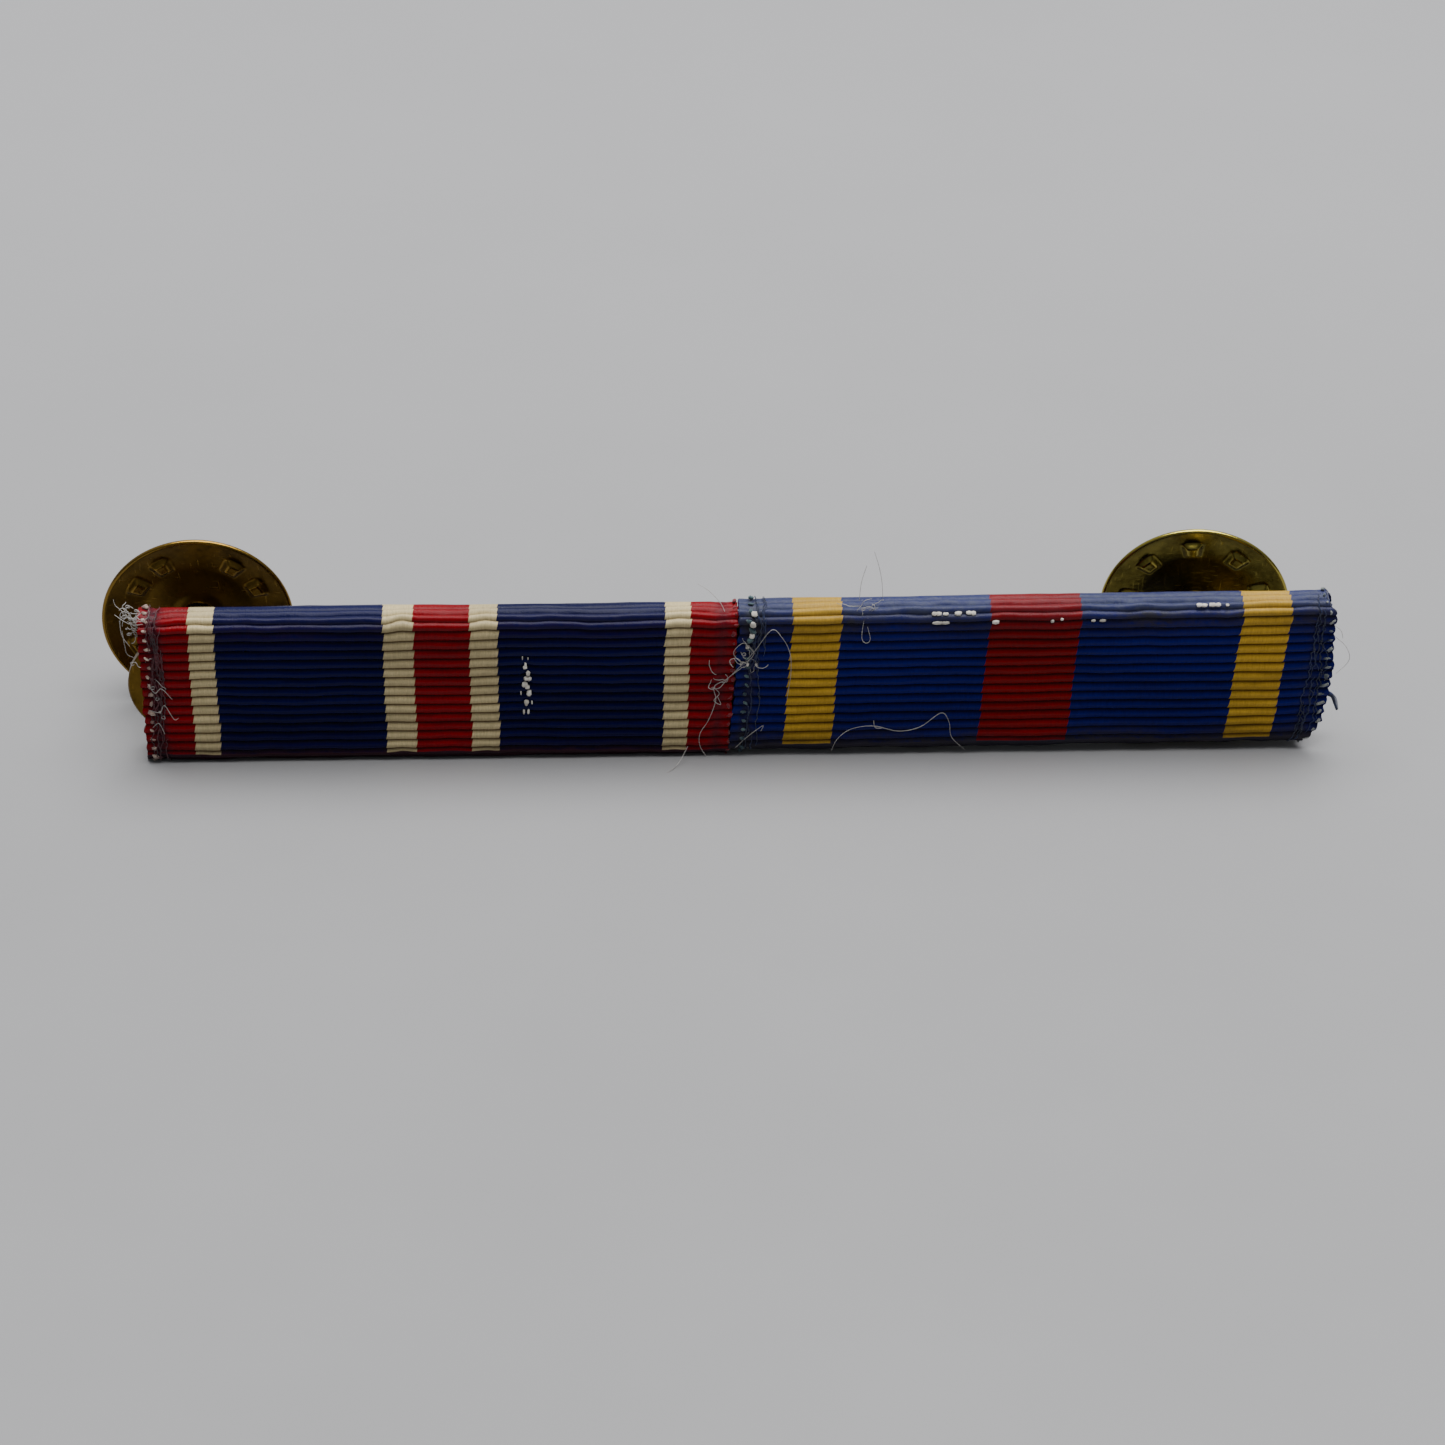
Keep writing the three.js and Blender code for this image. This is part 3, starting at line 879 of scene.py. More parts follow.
@dataclass
class Ribbon:
    """One woven ribbon folded round its carrier.

    Attributes:
        side: left or right, the first word of its nodes' names.
        bar: the bar's frame.
        cloth: the woven finish.
        left_edge: shape of its left end.
        right_edge: shape of its right end.
        soil: how dirty its folds are, 0 to 1; it also sets how much dust and painted sheen the top takes.
        seed: for its unevenness.
        dents: place along it, height, half length, half height and depth of each dent, all
            in millimetres, as are the sizes below.
        puckers: place along it, half length and drop of each pull in the folds.
        tilt: how much higher its right end stands than its left.
        width: along the bar.
        carrier_inset: how far its carrier lies inside its end.
        thickness: of the cloth, under the ribs.
        pitch: of the ribs.
        rib_height: how proud a rib stands of its groove.
        path: how the cloth is folded.
        end_zone: how far in from an end its shape is felt, as an exponential's length.
        rows_per_rib: rows of points across a rib.
        columns: points along a rib.
    """

    side: str
    bar: BarFrame
    cloth: RibbedCloth
    left_edge: EdgeShape
    right_edge: EdgeShape
    soil: float
    seed: int
    dents: tuple[tuple[float, float, float, float, float], ...] = ()
    puckers: tuple[tuple[float, float, float], ...] = ()
    tilt: float = 0.0
    width: float = 34.9
    carrier_inset: float = 0.2
    thickness: float = 0.28
    pitch: float = 0.645
    rib_height: float = 0.17
    path: FoldPath = field(default_factory=FoldPath)
    end_zone: float = 0.9
    rows_per_rib: int = 11
    columns: int = 150

    @property
    def start(self) -> float:
        """Where the ribbon's left end stands along the bar, in millimetres."""
        return self.bar.along(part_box(f"{self.side}_carrier")[0][0]) - self.carrier_inset

    @property
    def lift(self) -> float:
        """How far this ribbon sits above the left one."""
        return self.bar.lift if self.side == "right" else 0.0

    @property
    def body(self) -> str:
        """The moving body that the ribbon rides on."""
        return f"{self.side}_ribbon_unit"

    def ribs(self) -> int:
        """Whole ribs along the folded length."""
        return round(self.path.length() / self.pitch)

    def shift(self, across: np.ndarray, up: np.ndarray) -> np.ndarray:
        """How far the skewed cloth lies to the left, by place across it and height.

        The lean grows from the left end's to the right end's with the eighth power
        of the place, and with the drop below the bar's top.

        Args:
            across: places across the ribbon, 0 to 1.
            up: heights above the bar's middle, in millimetres.

        Returns:
            The distances, in millimetres.
        """
        drop = 0.5 - np.clip(up / self.path.half_height, -1.0, 1.0) / 2
        lean = self.left_edge.lean + (self.right_edge.lean - self.left_edge.lean) * across**8
        return -lean * drop

    def edge_offset(self, shape: EdgeShape, side: float, s: np.ndarray, up: np.ndarray) -> np.ndarray:
        """How far an end reaches past its nominal line, positive outwards.

        Args:
            shape: the end's shape.
            side: -1 for the left end, 1 for the right.
            s: path length at each point.
            up: height at each point.

        Returns:
            The reach, in millimetres.
        """
        nicked = shape.nick * smooth_step(-up, *shape.nick_zone) ** 1.3
        rounded = shape.corner * smooth_step(up, *shape.corner_zone) ** 1.5
        worn = -nicked - rounded + shape.flare * smooth_step(-up, *shape.flare_zone)
        rib = np.sin(np.pi * (s / self.pitch % 1.0))
        uneven = value_noise(s / 0.8, side * 3.1, self.seed + 5)
        uneven = uneven + 0.6 * value_noise(s / 0.23, side, self.seed + 6)
        return worn + shape.ragged * (uneven + 0.9 * (rib - 0.5))

    def surface_point(self, across: np.ndarray, s: np.ndarray, rise: np.ndarray | float) -> np.ndarray:
        """A point on or above the cloth, in the bar's millimetres.

        Args:
            across: 0 at the left end to 1 at the right.
            s: path length.
            rise: distance out from the CAD surface.

        Returns:
            (..., 3) point.
        """
        across, s, rise = np.broadcast_arrays(across, s, rise)
        section = self.path.at(s, rise)
        up = section[..., 1]
        x = across * self.width
        near_left = np.exp(-x / self.end_zone)
        near_right = np.exp(-(self.width - x) / self.end_zone)
        reach = (self.edge_offset(self.right_edge, 1.0, s, up) * near_right
                 - self.edge_offset(self.left_edge, -1.0, s, up) * near_left)
        along = self.start + x + self.shift(across, up) + reach
        return np.stack([along, section[..., 0], up + self.lift + self.tilt * across], axis=-1)

    def build_cloth(self) -> bpy.types.Object:
        """The folded cloth: ribs outside, smooth inside, closed at both ends and both hems.

        Returns:
            The cloth, standing for its CAD node.
        """
        t = self._row_places()
        s, across = np.meshgrid(t * self.path.length(), self._column_places(), indexing="ij")
        x = across * self.width
        fray = self._fray(x)
        rise = self._relief(x, s, t[:, None] * self.ribs() % 1.0, fray)
        placed_s = self._wandered(x, s)
        outer = self.surface_point(across, placed_s, rise)
        inner = self.surface_point(across, placed_s, np.full_like(rise, -self.thickness))
        return self._close(outer, inner, across, t, s, fray)

    def _row_places(self) -> np.ndarray:
        """Path fractions of the rows: spaced by a cosine over each rib, closest in its grooves.

        Returns:
            The fractions, from 0 to 1.
        """
        ribs = self.ribs()
        step = (1 - np.cos(np.pi * np.arange(self.rows_per_rib) / self.rows_per_rib)) / 2
        t = (np.arange(ribs)[:, None] + step[None, :]).ravel() / ribs
        return np.append(t, 1.0)

    def _column_places(self) -> np.ndarray:
        """Places across the ribbon, from 0 to 1: spaced by a sine, so closest at both ends.

        Returns:
            The places.
        """
        crowding = 0.86
        spread = np.linspace(-1, 1, self.columns)
        return 0.5 + 0.5 * np.sin(spread * math.pi / 2 * crowding) / math.sin(math.pi / 2 * crowding)

    def _fray(self, x: np.ndarray) -> np.ndarray:
        """How frayed the cloth is: a soft band just inside each end.

        Args:
            x: places across the ribbon, in millimetres.

        Returns:
            The fraying, 0 to 1.
        """
        centre, half_width = 0.85, 0.42
        from_end = np.minimum(x, self.width - x)
        band = np.where(x < self.width / 2, self.left_edge.band, self.right_edge.band)
        return band * np.exp(-(((from_end - centre) / half_width) ** 2))

    def _relief(self, x: np.ndarray, s: np.ndarray, phase: np.ndarray, fray: np.ndarray) -> np.ndarray:
        """How far the outer face stands out from the path.

        Each rib is half a sine over its cord. The ribs are low from the upper hem to the
        flat top, swell and thin along their length, flatten where the ends fray and are
        uneven at the front folds. Each dent is a bell-shaped hollow.

        Args:
            x: place along the ribbon, in millimetres.
            s: path length.
            phase: place across the rib, 0 to 1.
            fray: how frayed each point is.

        Returns:
            The rise, in millimetres.
        """
        steps = self.path.knots()[0]
        cord = np.sin(np.pi * phase) ** 0.95
        cord = cord * (0.35 + 0.65 * smooth_step(s, steps[3] - 0.85, steps[3] - 0.35))
        swell = 1 + 0.22 * value_noise(x / 1.1, np.floor(s / self.pitch) * 1.7, self.seed)
        height = self.rib_height * cord * swell * (1 - 0.55 * fray)
        rise = height - self.rib_height + 0.03
        rise = rise + 0.035 * value_noise(x / 3.2, s / 2.1, self.seed + 1)
        rise = rise + fray * (0.06 * value_noise(x / 0.17, s / 0.21, self.seed + 2) - 0.03)
        rough = self.fold_weight(s) * self.soil * 0.05
        rise = rise + rough * value_noise(x / 1.3, s / 0.5, self.seed + 3)
        for centre, height_up, half_x, half_s, depth in self.dents:
            away = ((x - centre) / half_x) ** 2 + ((s - self.path.down_face(height_up)) / half_s) ** 2
            rise = rise - depth * np.exp(-away)
        return rise

    def _wandered(self, x: np.ndarray, s: np.ndarray) -> np.ndarray:
        """Path lengths after the ribs wander along the ribbon and the puckers pull the folds.

        The wander dies out over the last millimetre before each hem.

        Args:
            x: place along the ribbon, in millimetres.
            s: path length before.

        Returns:
            Path length after.
        """
        fold = self.fold_weight(s)
        wander = 0.08 * value_noise(x / 4.5, s / 5.0, self.seed + 4)
        wander = wander + (0.03 + 0.06 * fold) * value_noise(x / 1.2, s / 3.0, self.seed + 7)
        for centre, half_x, drop in self.puckers:
            wander = wander - fold * drop * np.exp(-(((x - centre) / half_x) ** 2))
        length = self.path.length()
        from_hem = np.clip(np.minimum(s, length - s), 0, 1)
        return np.clip(s + wander * from_hem, 0, length)

    def _close(self, outer: np.ndarray, inner: np.ndarray, across: np.ndarray,
               t: np.ndarray, s: np.ndarray, fray: np.ndarray) -> bpy.types.Object:
        """Join the two faces of the cloth and store what its finish reads.

        Args:
            outer: (rows, columns, 3) outer face.
            inner: the same for the inner face.
            across: place across the ribbon at each point.
            t: path fraction of each row.
            s: path length at each point.
            fray: how frayed each point is.

        Returns:
            The finished piece.
        """
        rows, columns = across.shape
        loop = np.concatenate([outer, inner[::-1]], axis=0)
        points = self.bar.place(loop.reshape(-1, 3))
        skin = grid_faces(2 * rows, columns, True, False)
        row = np.arange(rows - 1)
        under = 2 * rows - 1 - row
        caps = []
        for column, order in ((0, 1), (columns - 1, -1)):
            quad = np.stack([row, row + 1, under - 1, under], axis=1)[:, ::order] * columns + column
            caps.append(quad)
        piece = build_mesh(f"{self.side}_ribbon_cloth", points, np.concatenate([skin, *caps]))

        def both(values: np.ndarray) -> np.ndarray:
            """The same values on the outer face and, in turned order, on the inner one."""
            return np.concatenate([values, values[::-1]], axis=0).ravel()

        path_t = np.broadcast_to(t[:, None], across.shape)
        add_uv(piece, "cloth", np.stack([both(across), both(path_t)], axis=1))
        add_value(piece, "wear_and_under_shade", both(np.clip(self.wear_and_under_shade(across * self.width, s), 0, 1)))
        add_value(piece, "fray", both(fray))
        add_value(piece, "dust_and_sheen", both(self.dust_and_sheen(s)))
        piece.data.materials.append(self.cloth.material(self.ribs()))
        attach(piece, self.body)
        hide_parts(f"{self.side}_ribbon")
        self.path.length() * MM
        return piece

    def fold_weight(self, s: np.ndarray) -> np.ndarray:
        """1 at the two front folds, falling to 0 a millimetre and a half away.

        Args:
            s: path lengths, in millimetres.

        Returns:
            The weight at each of them.
        """
        steps = self.path.knots()[0]
        top, bottom = (steps[3] + steps[4]) / 2, (steps[5] + steps[6]) / 2
        return np.exp(-(((s - top) / 0.75) ** 2)) + np.exp(-(((s - bottom) / 0.8) ** 2))

    def wear_and_under_shade(self, x: np.ndarray, s: np.ndarray) -> np.ndarray:
        """How rubbed and dirty the cloth is, patchy along both front folds, with painted shade full underneath.

        Args:
            x: places across the ribbon, in millimetres.
            s: path lengths, in millimetres.

        Returns:
            The wear and the painted shade, 0 to 1.
        """
        patchy = 0.65 + 0.35 * value_noise(x / 3.0, s / 1.2, self.seed + 8)
        steps = self.path.knots()[0]
        low = np.exp(-(((s - steps[5]) / 0.9) ** 2))
        high = np.exp(-(((s - steps[4] + 0.05) / 0.9) ** 2))
        # painted shade: the underside of the lower fold is darkened in full, where the bar's shadow falls
        starts = smooth_step(s, steps[5] - 0.40, steps[5] + 0.15)
        under = starts * (1 - smooth_step(s, steps[7] - 0.3, steps[8] + 0.3))
        return np.maximum(self.soil * patchy * np.clip(high + 0.8 * low, 0, 1), under)

    def dust_and_sheen(self, s: np.ndarray) -> np.ndarray:
        """A thin grey film on the upper side: partly settled dust, partly painted sheen.

        Args:
            s: path lengths, in millimetres.

        Returns:
            The dust and painted sheen, 0 to 1.
        """
        steps = self.path.knots()[0]
        starts = (0.78 * self.soil - 0.18) * smooth_step(s, steps[1], steps[2])
        return starts * (1 - smooth_step(s, steps[3], steps[4] + 0.2))

    def carry(self, piece: bpy.types.Object, finish: SpunThread) -> bpy.types.Object:
        """Dress a piece of thread that sits on the ribbon, and set it riding with it.

        Args:
            piece: the threads.
            finish: their finish.

        Returns:
            The same piece.
        """
        piece.data.materials.append(finish.material())
        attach(piece, self.body)
        return piece


class End(Enum):
    """Which end of a ribbon."""

    LEFT = -1
    RIGHT = 1


@dataclass
class Selvedge:
    """The pale weft loops at one end of a ribbon, and the warp threads worked loose there.

    Attributes:
        ribbon: the ribbon it belongs to.
        end: which end.
        inset: how far the loops lie inside the end, in millimetres.
        loop_size: a loop's half length, half height and half depth.
        thread: finish of the loops.
        warp: finish of the loose warp threads.
        loose: number of loose warp threads.
        large_top: how much larger the loops are near the top fold.
        warp_radius: of a loose thread, in millimetres.
    """

    ribbon: Ribbon
    end: End
    inset: float
    loop_size: tuple[float, float, float]
    thread: SpunThread
    warp: SpunThread
    loose: int
    large_top: float = 0.0
    warp_radius: float = 0.032

    def build_loops(self) -> bpy.types.Object:
        """One bead of cotton per rib: an ellipsoid from its two angles, set on the rib.

        Each bead's three half lengths, its place and its lean are drawn at random.

        Returns:
            The beads as one piece.
        """
        ribbon = self.ribbon
        rng = np.random.default_rng(ribbon.seed + 20 + self.end.value)
        count = ribbon.ribs()
        s = (np.arange(count) + 0.5) / count * ribbon.path.length()
        top = np.exp(-(((s - ribbon.path.face_start() - 0.4) / 1.3) ** 2))
        grow = 1 + self.large_top * top
        size = np.array(self.loop_size)[None] * rng.uniform(0.45, 1.25, (count, 3)) * grow[:, None]
        across = self._across(self.inset + rng.uniform(-0.08, 0.1, count))
        rows, columns = 7, 10
        polar = np.linspace(0, np.pi, rows)[:, None]
        turn = np.linspace(0, 2 * np.pi, columns, endpoint=False)[None, :]
        shape = np.stack([np.cos(polar) + 0 * turn, np.sin(polar) * np.cos(turn),
                          np.sin(polar) * np.sin(turn)], axis=-1)
        local = shape[None] * size[:, None, None, :]
        lumps = 1 + 0.3 * rng.uniform(-1, 1, local.shape[:3])
        lumps[:, [0, -1]] = 1.0
        local = local * lumps[..., None]
        lean = rng.uniform(-0.2, 0.8, count)[:, None, None]
        local[..., 0] -= self.end.value * lean * local[..., 1]
        points = ribbon.surface_point(
            across[:, None, None] + local[..., 0] / ribbon.width,
            s[:, None, None] + local[..., 1], local[..., 2])
        faces = repeated(grid_faces(rows, columns, False, True), count, rows * columns)
        name = f"{ribbon.side}_ribbon_{self.end.name.lower()}_weft_loops"
        piece = build_mesh(name, ribbon.bar.place(points.reshape(-1, 3)), faces)
        close_tips(piece)
        return ribbon.carry(piece, self.thread)

    def _across(self, inset: np.ndarray) -> np.ndarray:
        """Places across the ribbon, 0 to 1, from distances inside this end."""
        place = inset / self.ribbon.width
        return place if self.end is End.LEFT else 1 - place

    def build_loose_warp(self) -> bpy.types.Object:
        """Short thin threads that follow the fold path beside the end.

        Each starts at a random place on the path, lies at its own distance inside the end
        and wanders to both sides in slow noise.

        Returns:
            The threads as one piece.
        """
        ribbon = self.ribbon
        rng = np.random.default_rng(ribbon.seed + 40 + self.end.value)
        steps = ribbon.path.knots()[0]
        stations = 90
        s = np.linspace(steps[2] - 0.8, steps[7] + 0.6, stations)
        starts = rng.uniform(0, 0.75, self.loose)[:, None]
        ends = starts + rng.uniform(0.10, 0.30, self.loose)[:, None]
        t = starts + (ends - starts) * np.linspace(0, 1, stations)[None]
        s = s[0] + t * (s[-1] - s[0])
        index = np.arange(self.loose)[:, None]
        inset = self.inset + 0.10 + (index * 0.618 % 1.0) * 0.80
        sway = 0.16 * value_noise(s / 0.9, index * 2.3, ribbon.seed + 9)
        sway = sway + 0.06 * value_noise(s / 0.25, index * 1.7, ribbon.seed + 10)
        across = self._across(inset + sway)
        rib = np.sin(np.pi * (s / ribbon.pitch % 1.0))
        rise = -0.03 + 0.06 * rib + 0.05 * value_noise(s / 0.3, index * 3.1, ribbon.seed + 11)
        paths = ribbon.bar.place(ribbon.surface_point(across, s, rise))
        radii = taper(stations, np.full(self.loose, self.warp_radius * MM), 0.2)
        name = f"{ribbon.side}_ribbon_{self.end.name.lower()}_loose_warp"
        return ribbon.carry(thread_mesh(name, paths, radii, 6), self.warp)


@dataclass
class BareWeft:
    """Short lengths of pale weft cord that show where the warp has worn through.

    Attributes:
        name: the piece's name.
        ribbon: the ribbon it shows through.
        finish: the cord's finish.
        bits: each bit's place along the ribbon, path length, half length across, half
            length along the path and height, all in millimetres.
    """

    name: str
    ribbon: Ribbon
    finish: SpunThread
    bits: tuple[tuple[float, float, float, float, float], ...]

    def build(self) -> bpy.types.Object:
        """Each bit is a lumpy, blunt-ended ellipsoid worked out from its two angles.

        Returns:
            The bits as one piece.
        """
        rng = np.random.default_rng(self.ribbon.seed + 60)
        bits = np.array(self.bits)
        rows, columns = 9, 14
        polar = np.linspace(0, np.pi, rows)[:, None]
        turn = np.linspace(0, 2 * np.pi, columns, endpoint=False)[None, :]
        girth = np.sin(polar) ** 0.8
        shape = np.stack([blunt(np.cos(polar)) + 0 * turn, girth * blunt(np.cos(turn)),
                          girth * blunt(np.sin(turn))], axis=-1)
        lumps = 1 + 0.16 * rng.uniform(-1, 1, (len(bits), rows, columns))
        lumps[:, [0, -1]] = 1.0
        local = shape[None] * lumps[..., None] * bits[:, None, None, 2:5]
        points = self.ribbon.surface_point(
            (bits[:, 0, None, None] + local[..., 0]) / self.ribbon.width,
            bits[:, 1, None, None] + local[..., 1], 0.01 + local[..., 2])
        faces = repeated(grid_faces(rows, columns, False, True), len(bits), rows * columns)
        piece = build_mesh(self.name, self.ribbon.bar.place(points.reshape(-1, 3)), faces)
        close_tips(piece)
        return self.ribbon.carry(piece, self.finish)


@dataclass
class Lint:
    """Loose fibres caught on a ribbon: single hairs given one by one, and tufts of curls.

    Attributes:
        name: the piece's name.
        ribbon: the ribbon that holds it.
        finish: the fibre's finish.
        hairs: fibres given one by one, each a list of points along, back and up, in the
            bar's millimetres.
        tufts: each tuft's centre, spread, number of fibres and fibre length.
        thickness: a fibre's radius, in millimetres.
        curl: spread of a fibre's own steady turn at each of its steps, in radians.
        jitter: spread of the turn from step to step.
        climb: the same for its slope out of the ribbon's plane.
    """

    name: str
    ribbon: Ribbon
    finish: SpunThread
    hairs: tuple[tuple[Point, ...], ...] = ()
    tufts: tuple[tuple[Point, float, int, float], ...] = ()
    thickness: float = 0.022
    curl: float = 0.13
    jitter: float = 0.16
    climb: float = 0.10

    def build(self) -> bpy.types.Object:
        """Round threads along every hair and curl.

        A curl starts at a random place in its tuft and turns by a slowly changing
        angle at each step, so it loops back on itself.

        Returns:
            The lint as one piece.
        """
        stations = 48
        paths = [curve_through(hair, stations) for hair in self.hairs]
        rng = np.random.default_rng(self.ribbon.seed + 80)
        for centre, spread, count, length in self.tufts:
            heading = rng.uniform(0, 2 * np.pi, (count, 1)) + np.cumsum(
                rng.normal(0, 1.0, (count, 1)) * self.curl
                + rng.normal(0, self.jitter, (count, stations)), axis=1)
            pitch = np.cumsum(rng.normal(0, self.climb, (count, stations)), axis=1)
            step = length / stations * rng.uniform(0.5, 1.2, (count, 1))
            move = np.stack([np.cos(heading) * np.cos(pitch), 0.35 * np.sin(pitch),
                             np.sin(heading) * np.cos(pitch)], axis=-1) * step[..., None]
            start = np.array(centre) + rng.normal(0, spread, (count, 1, 3)) * np.array([1.0, 0.25, 1.0])
            paths.extend(start + np.cumsum(move, axis=1))
        radii = taper(stations, np.full(len(paths), self.thickness * MM), 0.15)
        piece = thread_mesh(self.name, self.ribbon.bar.place(np.array(paths)), radii, 5)
        return self.ribbon.carry(piece, self.finish)


# ----------------------------------------------------------------- the clutch


@dataclass
class Clutch:
    """One butterfly clutch: a finely dished disc, and finishes for its other parts.

    Attributes:
        side: left or right, the first word of its nodes' names.
        finish: its brass.
        nib_angles: where the square nibs stand, in degrees from the right.
        radius: of the disc, in millimetres.
        dish: depth of the dish.
        flat_radius: where the dish's flat floor ends.
        sheet: thickness.
        bead: radius of the rolled rim.
        hole: radius of the pin's hole.
        bead_back: how far the rolled rim starts behind the rim plane.
        lip: level of the dish's front face where it meets the rim.
        curve: the power by which the dish grows steeper outwards.
        eyelet: how proud the face stands round the hole.
        nib_ring: radius of the circle that the nibs stand on.
        nib_half: half the width of a nib's foot.
        nib_height: of each nib.
        pivot: how far behind the rim plane the disc's axis meets the pin's.
    """

    side: str
    finish: AgedBrass
    nib_angles: tuple[float, ...]
    radius: float = 5.75
    dish: float = 0.8
    flat_radius: float = 3.2
    sheet: float = 0.3
    bead: float = 0.17
    hole: float = 0.95
    bead_back: float = 0.05
    lip: float = 0.12
    curve: float = 1.6
    eyelet: float = 0.12
    nib_ring: float = 4.05
    nib_half: float = 0.68
    nib_height: float = 0.42
    pivot: float = 2.2

    def _section(self) -> tuple[np.ndarray, np.ndarray, np.ndarray]:
        """The disc's closed section from the hole out along the front and back again.

        Returns:
            Radius, depth and how far each point takes part in the nibs' pressing.
        """
        rim_centre = np.array([self.radius - self.bead, self.bead + self.bead_back])
        end = rim_centre[0] - 0.4 * self.bead
        nib_zone = np.linspace(3.0, 5.05, 52)
        out = np.concatenate([np.linspace(self.hole, 2.9, 16), nib_zone, np.linspace(5.1, end, 10)])
        slope = np.clip((out - self.flat_radius) / (end - self.flat_radius), 0, 1)
        floor = self.dish - (self.dish - self.lip) * slope**self.curve
        eyelet = self.eyelet * (1 - smooth_step(out, 1.15, 1.6))
        angle = np.radians(np.linspace(-100, 80, 11))
        rim_r = rim_centre[0] + self.bead * np.cos(angle)
        rim_y = rim_centre[1] + self.bead * np.sin(angle)
        radius = np.concatenate([out, rim_r, out[::-1]])
        depth = np.concatenate([floor - eyelet, rim_y, floor[::-1] + self.sheet])
        pressed = np.concatenate([np.ones(out.size), np.zeros(angle.size), np.full(out.size, 0.8)])
        return radius, depth, pressed

    def _nib_rise(self, r: np.ndarray, angle: np.ndarray) -> np.ndarray:
        """Height of the square blunt pyramids.

        The distance from a nib's middle is a sixth-power mean of those round and along the
        radius, which is nearly square, and an eased step of it is flat on top.

        Args:
            r: radius at each point.
            angle: angle at each point, in radians.

        Returns:
            The height, in millimetres.
        """
        rise = np.zeros(np.broadcast(r, angle).shape)
        for centre in np.radians(self.nib_angles):
            turn = (angle - centre + np.pi) % (2 * np.pi) - np.pi
            across = np.abs(turn) * self.nib_ring
            out = np.abs(r - self.nib_ring)
            away = (across**6 + out**6) ** (1 / 6)
            rise = np.maximum(rise, self.nib_height * (1 - smooth_step(away, 0.25, self.nib_half)))
        return rise

    def build_disc(self) -> bpy.types.Object:
        """Turn the section round the disc's own axis, found from its spin joint.

        Returns:
            The disc, standing for its CAD node.
        """
        joints = {j["name"]: j for j in frame["joints"]}
        spin = joints[f"{self.side}_clutch_spin"]
        axis = np.array(spin["axis"], float)
        axis /= np.linalg.norm(axis)
        across = np.cross(axis, [0.0, 0.0, 1.0])
        across /= np.linalg.norm(across)
        up = np.cross(across, axis)
        rim_plane = np.array(spin["pos_m"], float) - self.pivot * MM * axis
        radius, depth, pressed = self._section()
        angle = np.linspace(0, 2 * np.pi, 320, endpoint=False)
        r, a = radius[None, :], angle[:, None]
        rise = self._nib_rise(r, a) * pressed[None, :]
        uneven = 0.02 * value_noise(r * np.cos(a) / 2.0 + 9, r * np.sin(a) / 2.0 + 9, 91)
        y = depth[None, :] - rise + uneven
        points = (rim_plane + MM * (r * np.cos(a))[..., None] * across
                  + MM * (r * np.sin(a))[..., None] * up + MM * y[..., None] * axis)
        faces = grid_faces(angle.size, radius.size, True, True)
        piece = build_mesh(f"{self.side}_clutch_dished_disc", points.reshape(-1, 3), faces)
        on_rim = smooth_step(np.broadcast_to(r, rise.shape), self.radius - 0.30, self.radius - 0.12)
        on_nib = smooth_step(rise, 0.24, 0.40) * 0.55
        add_value(piece, "rubbed", np.clip(on_rim * 0.9 + on_nib, 0, 1))
        piece.data.materials.append(self.finish.material())
        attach(piece, f"{self.side}_clutch_shell")
        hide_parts(f"{self.side}_clutch_disc")
        return piece

    def dress(self, spring: bpy.types.Material) -> None:
        """Finish the cover, both wings and the spring, which keep their CAD shape.

        Args:
            spring: the spring's finish.
        """
        plain = AgedBrass(f"{self.finish.name}_pressings", self.finish.metal, self.finish.patina,
                          self.finish.cover * 0.9, self.finish.roughness).material()
        for part in ("cover", "right_wing", "left_wing"):
            coat(f"{self.side}_clutch_{part}", plain)
        coat(f"{self.side}_clutch_spring", spring)


def coat(node: str, material: bpy.types.Material) -> None:
    """Give a CAD node its finish.

    Args:
        node: the node's name.
        material: the finish.
    """
    slots = frame["nodes"][node].data.materials
    slots.clear()
    slots.append(material)


# ------------------------------------------------------------------- the stage


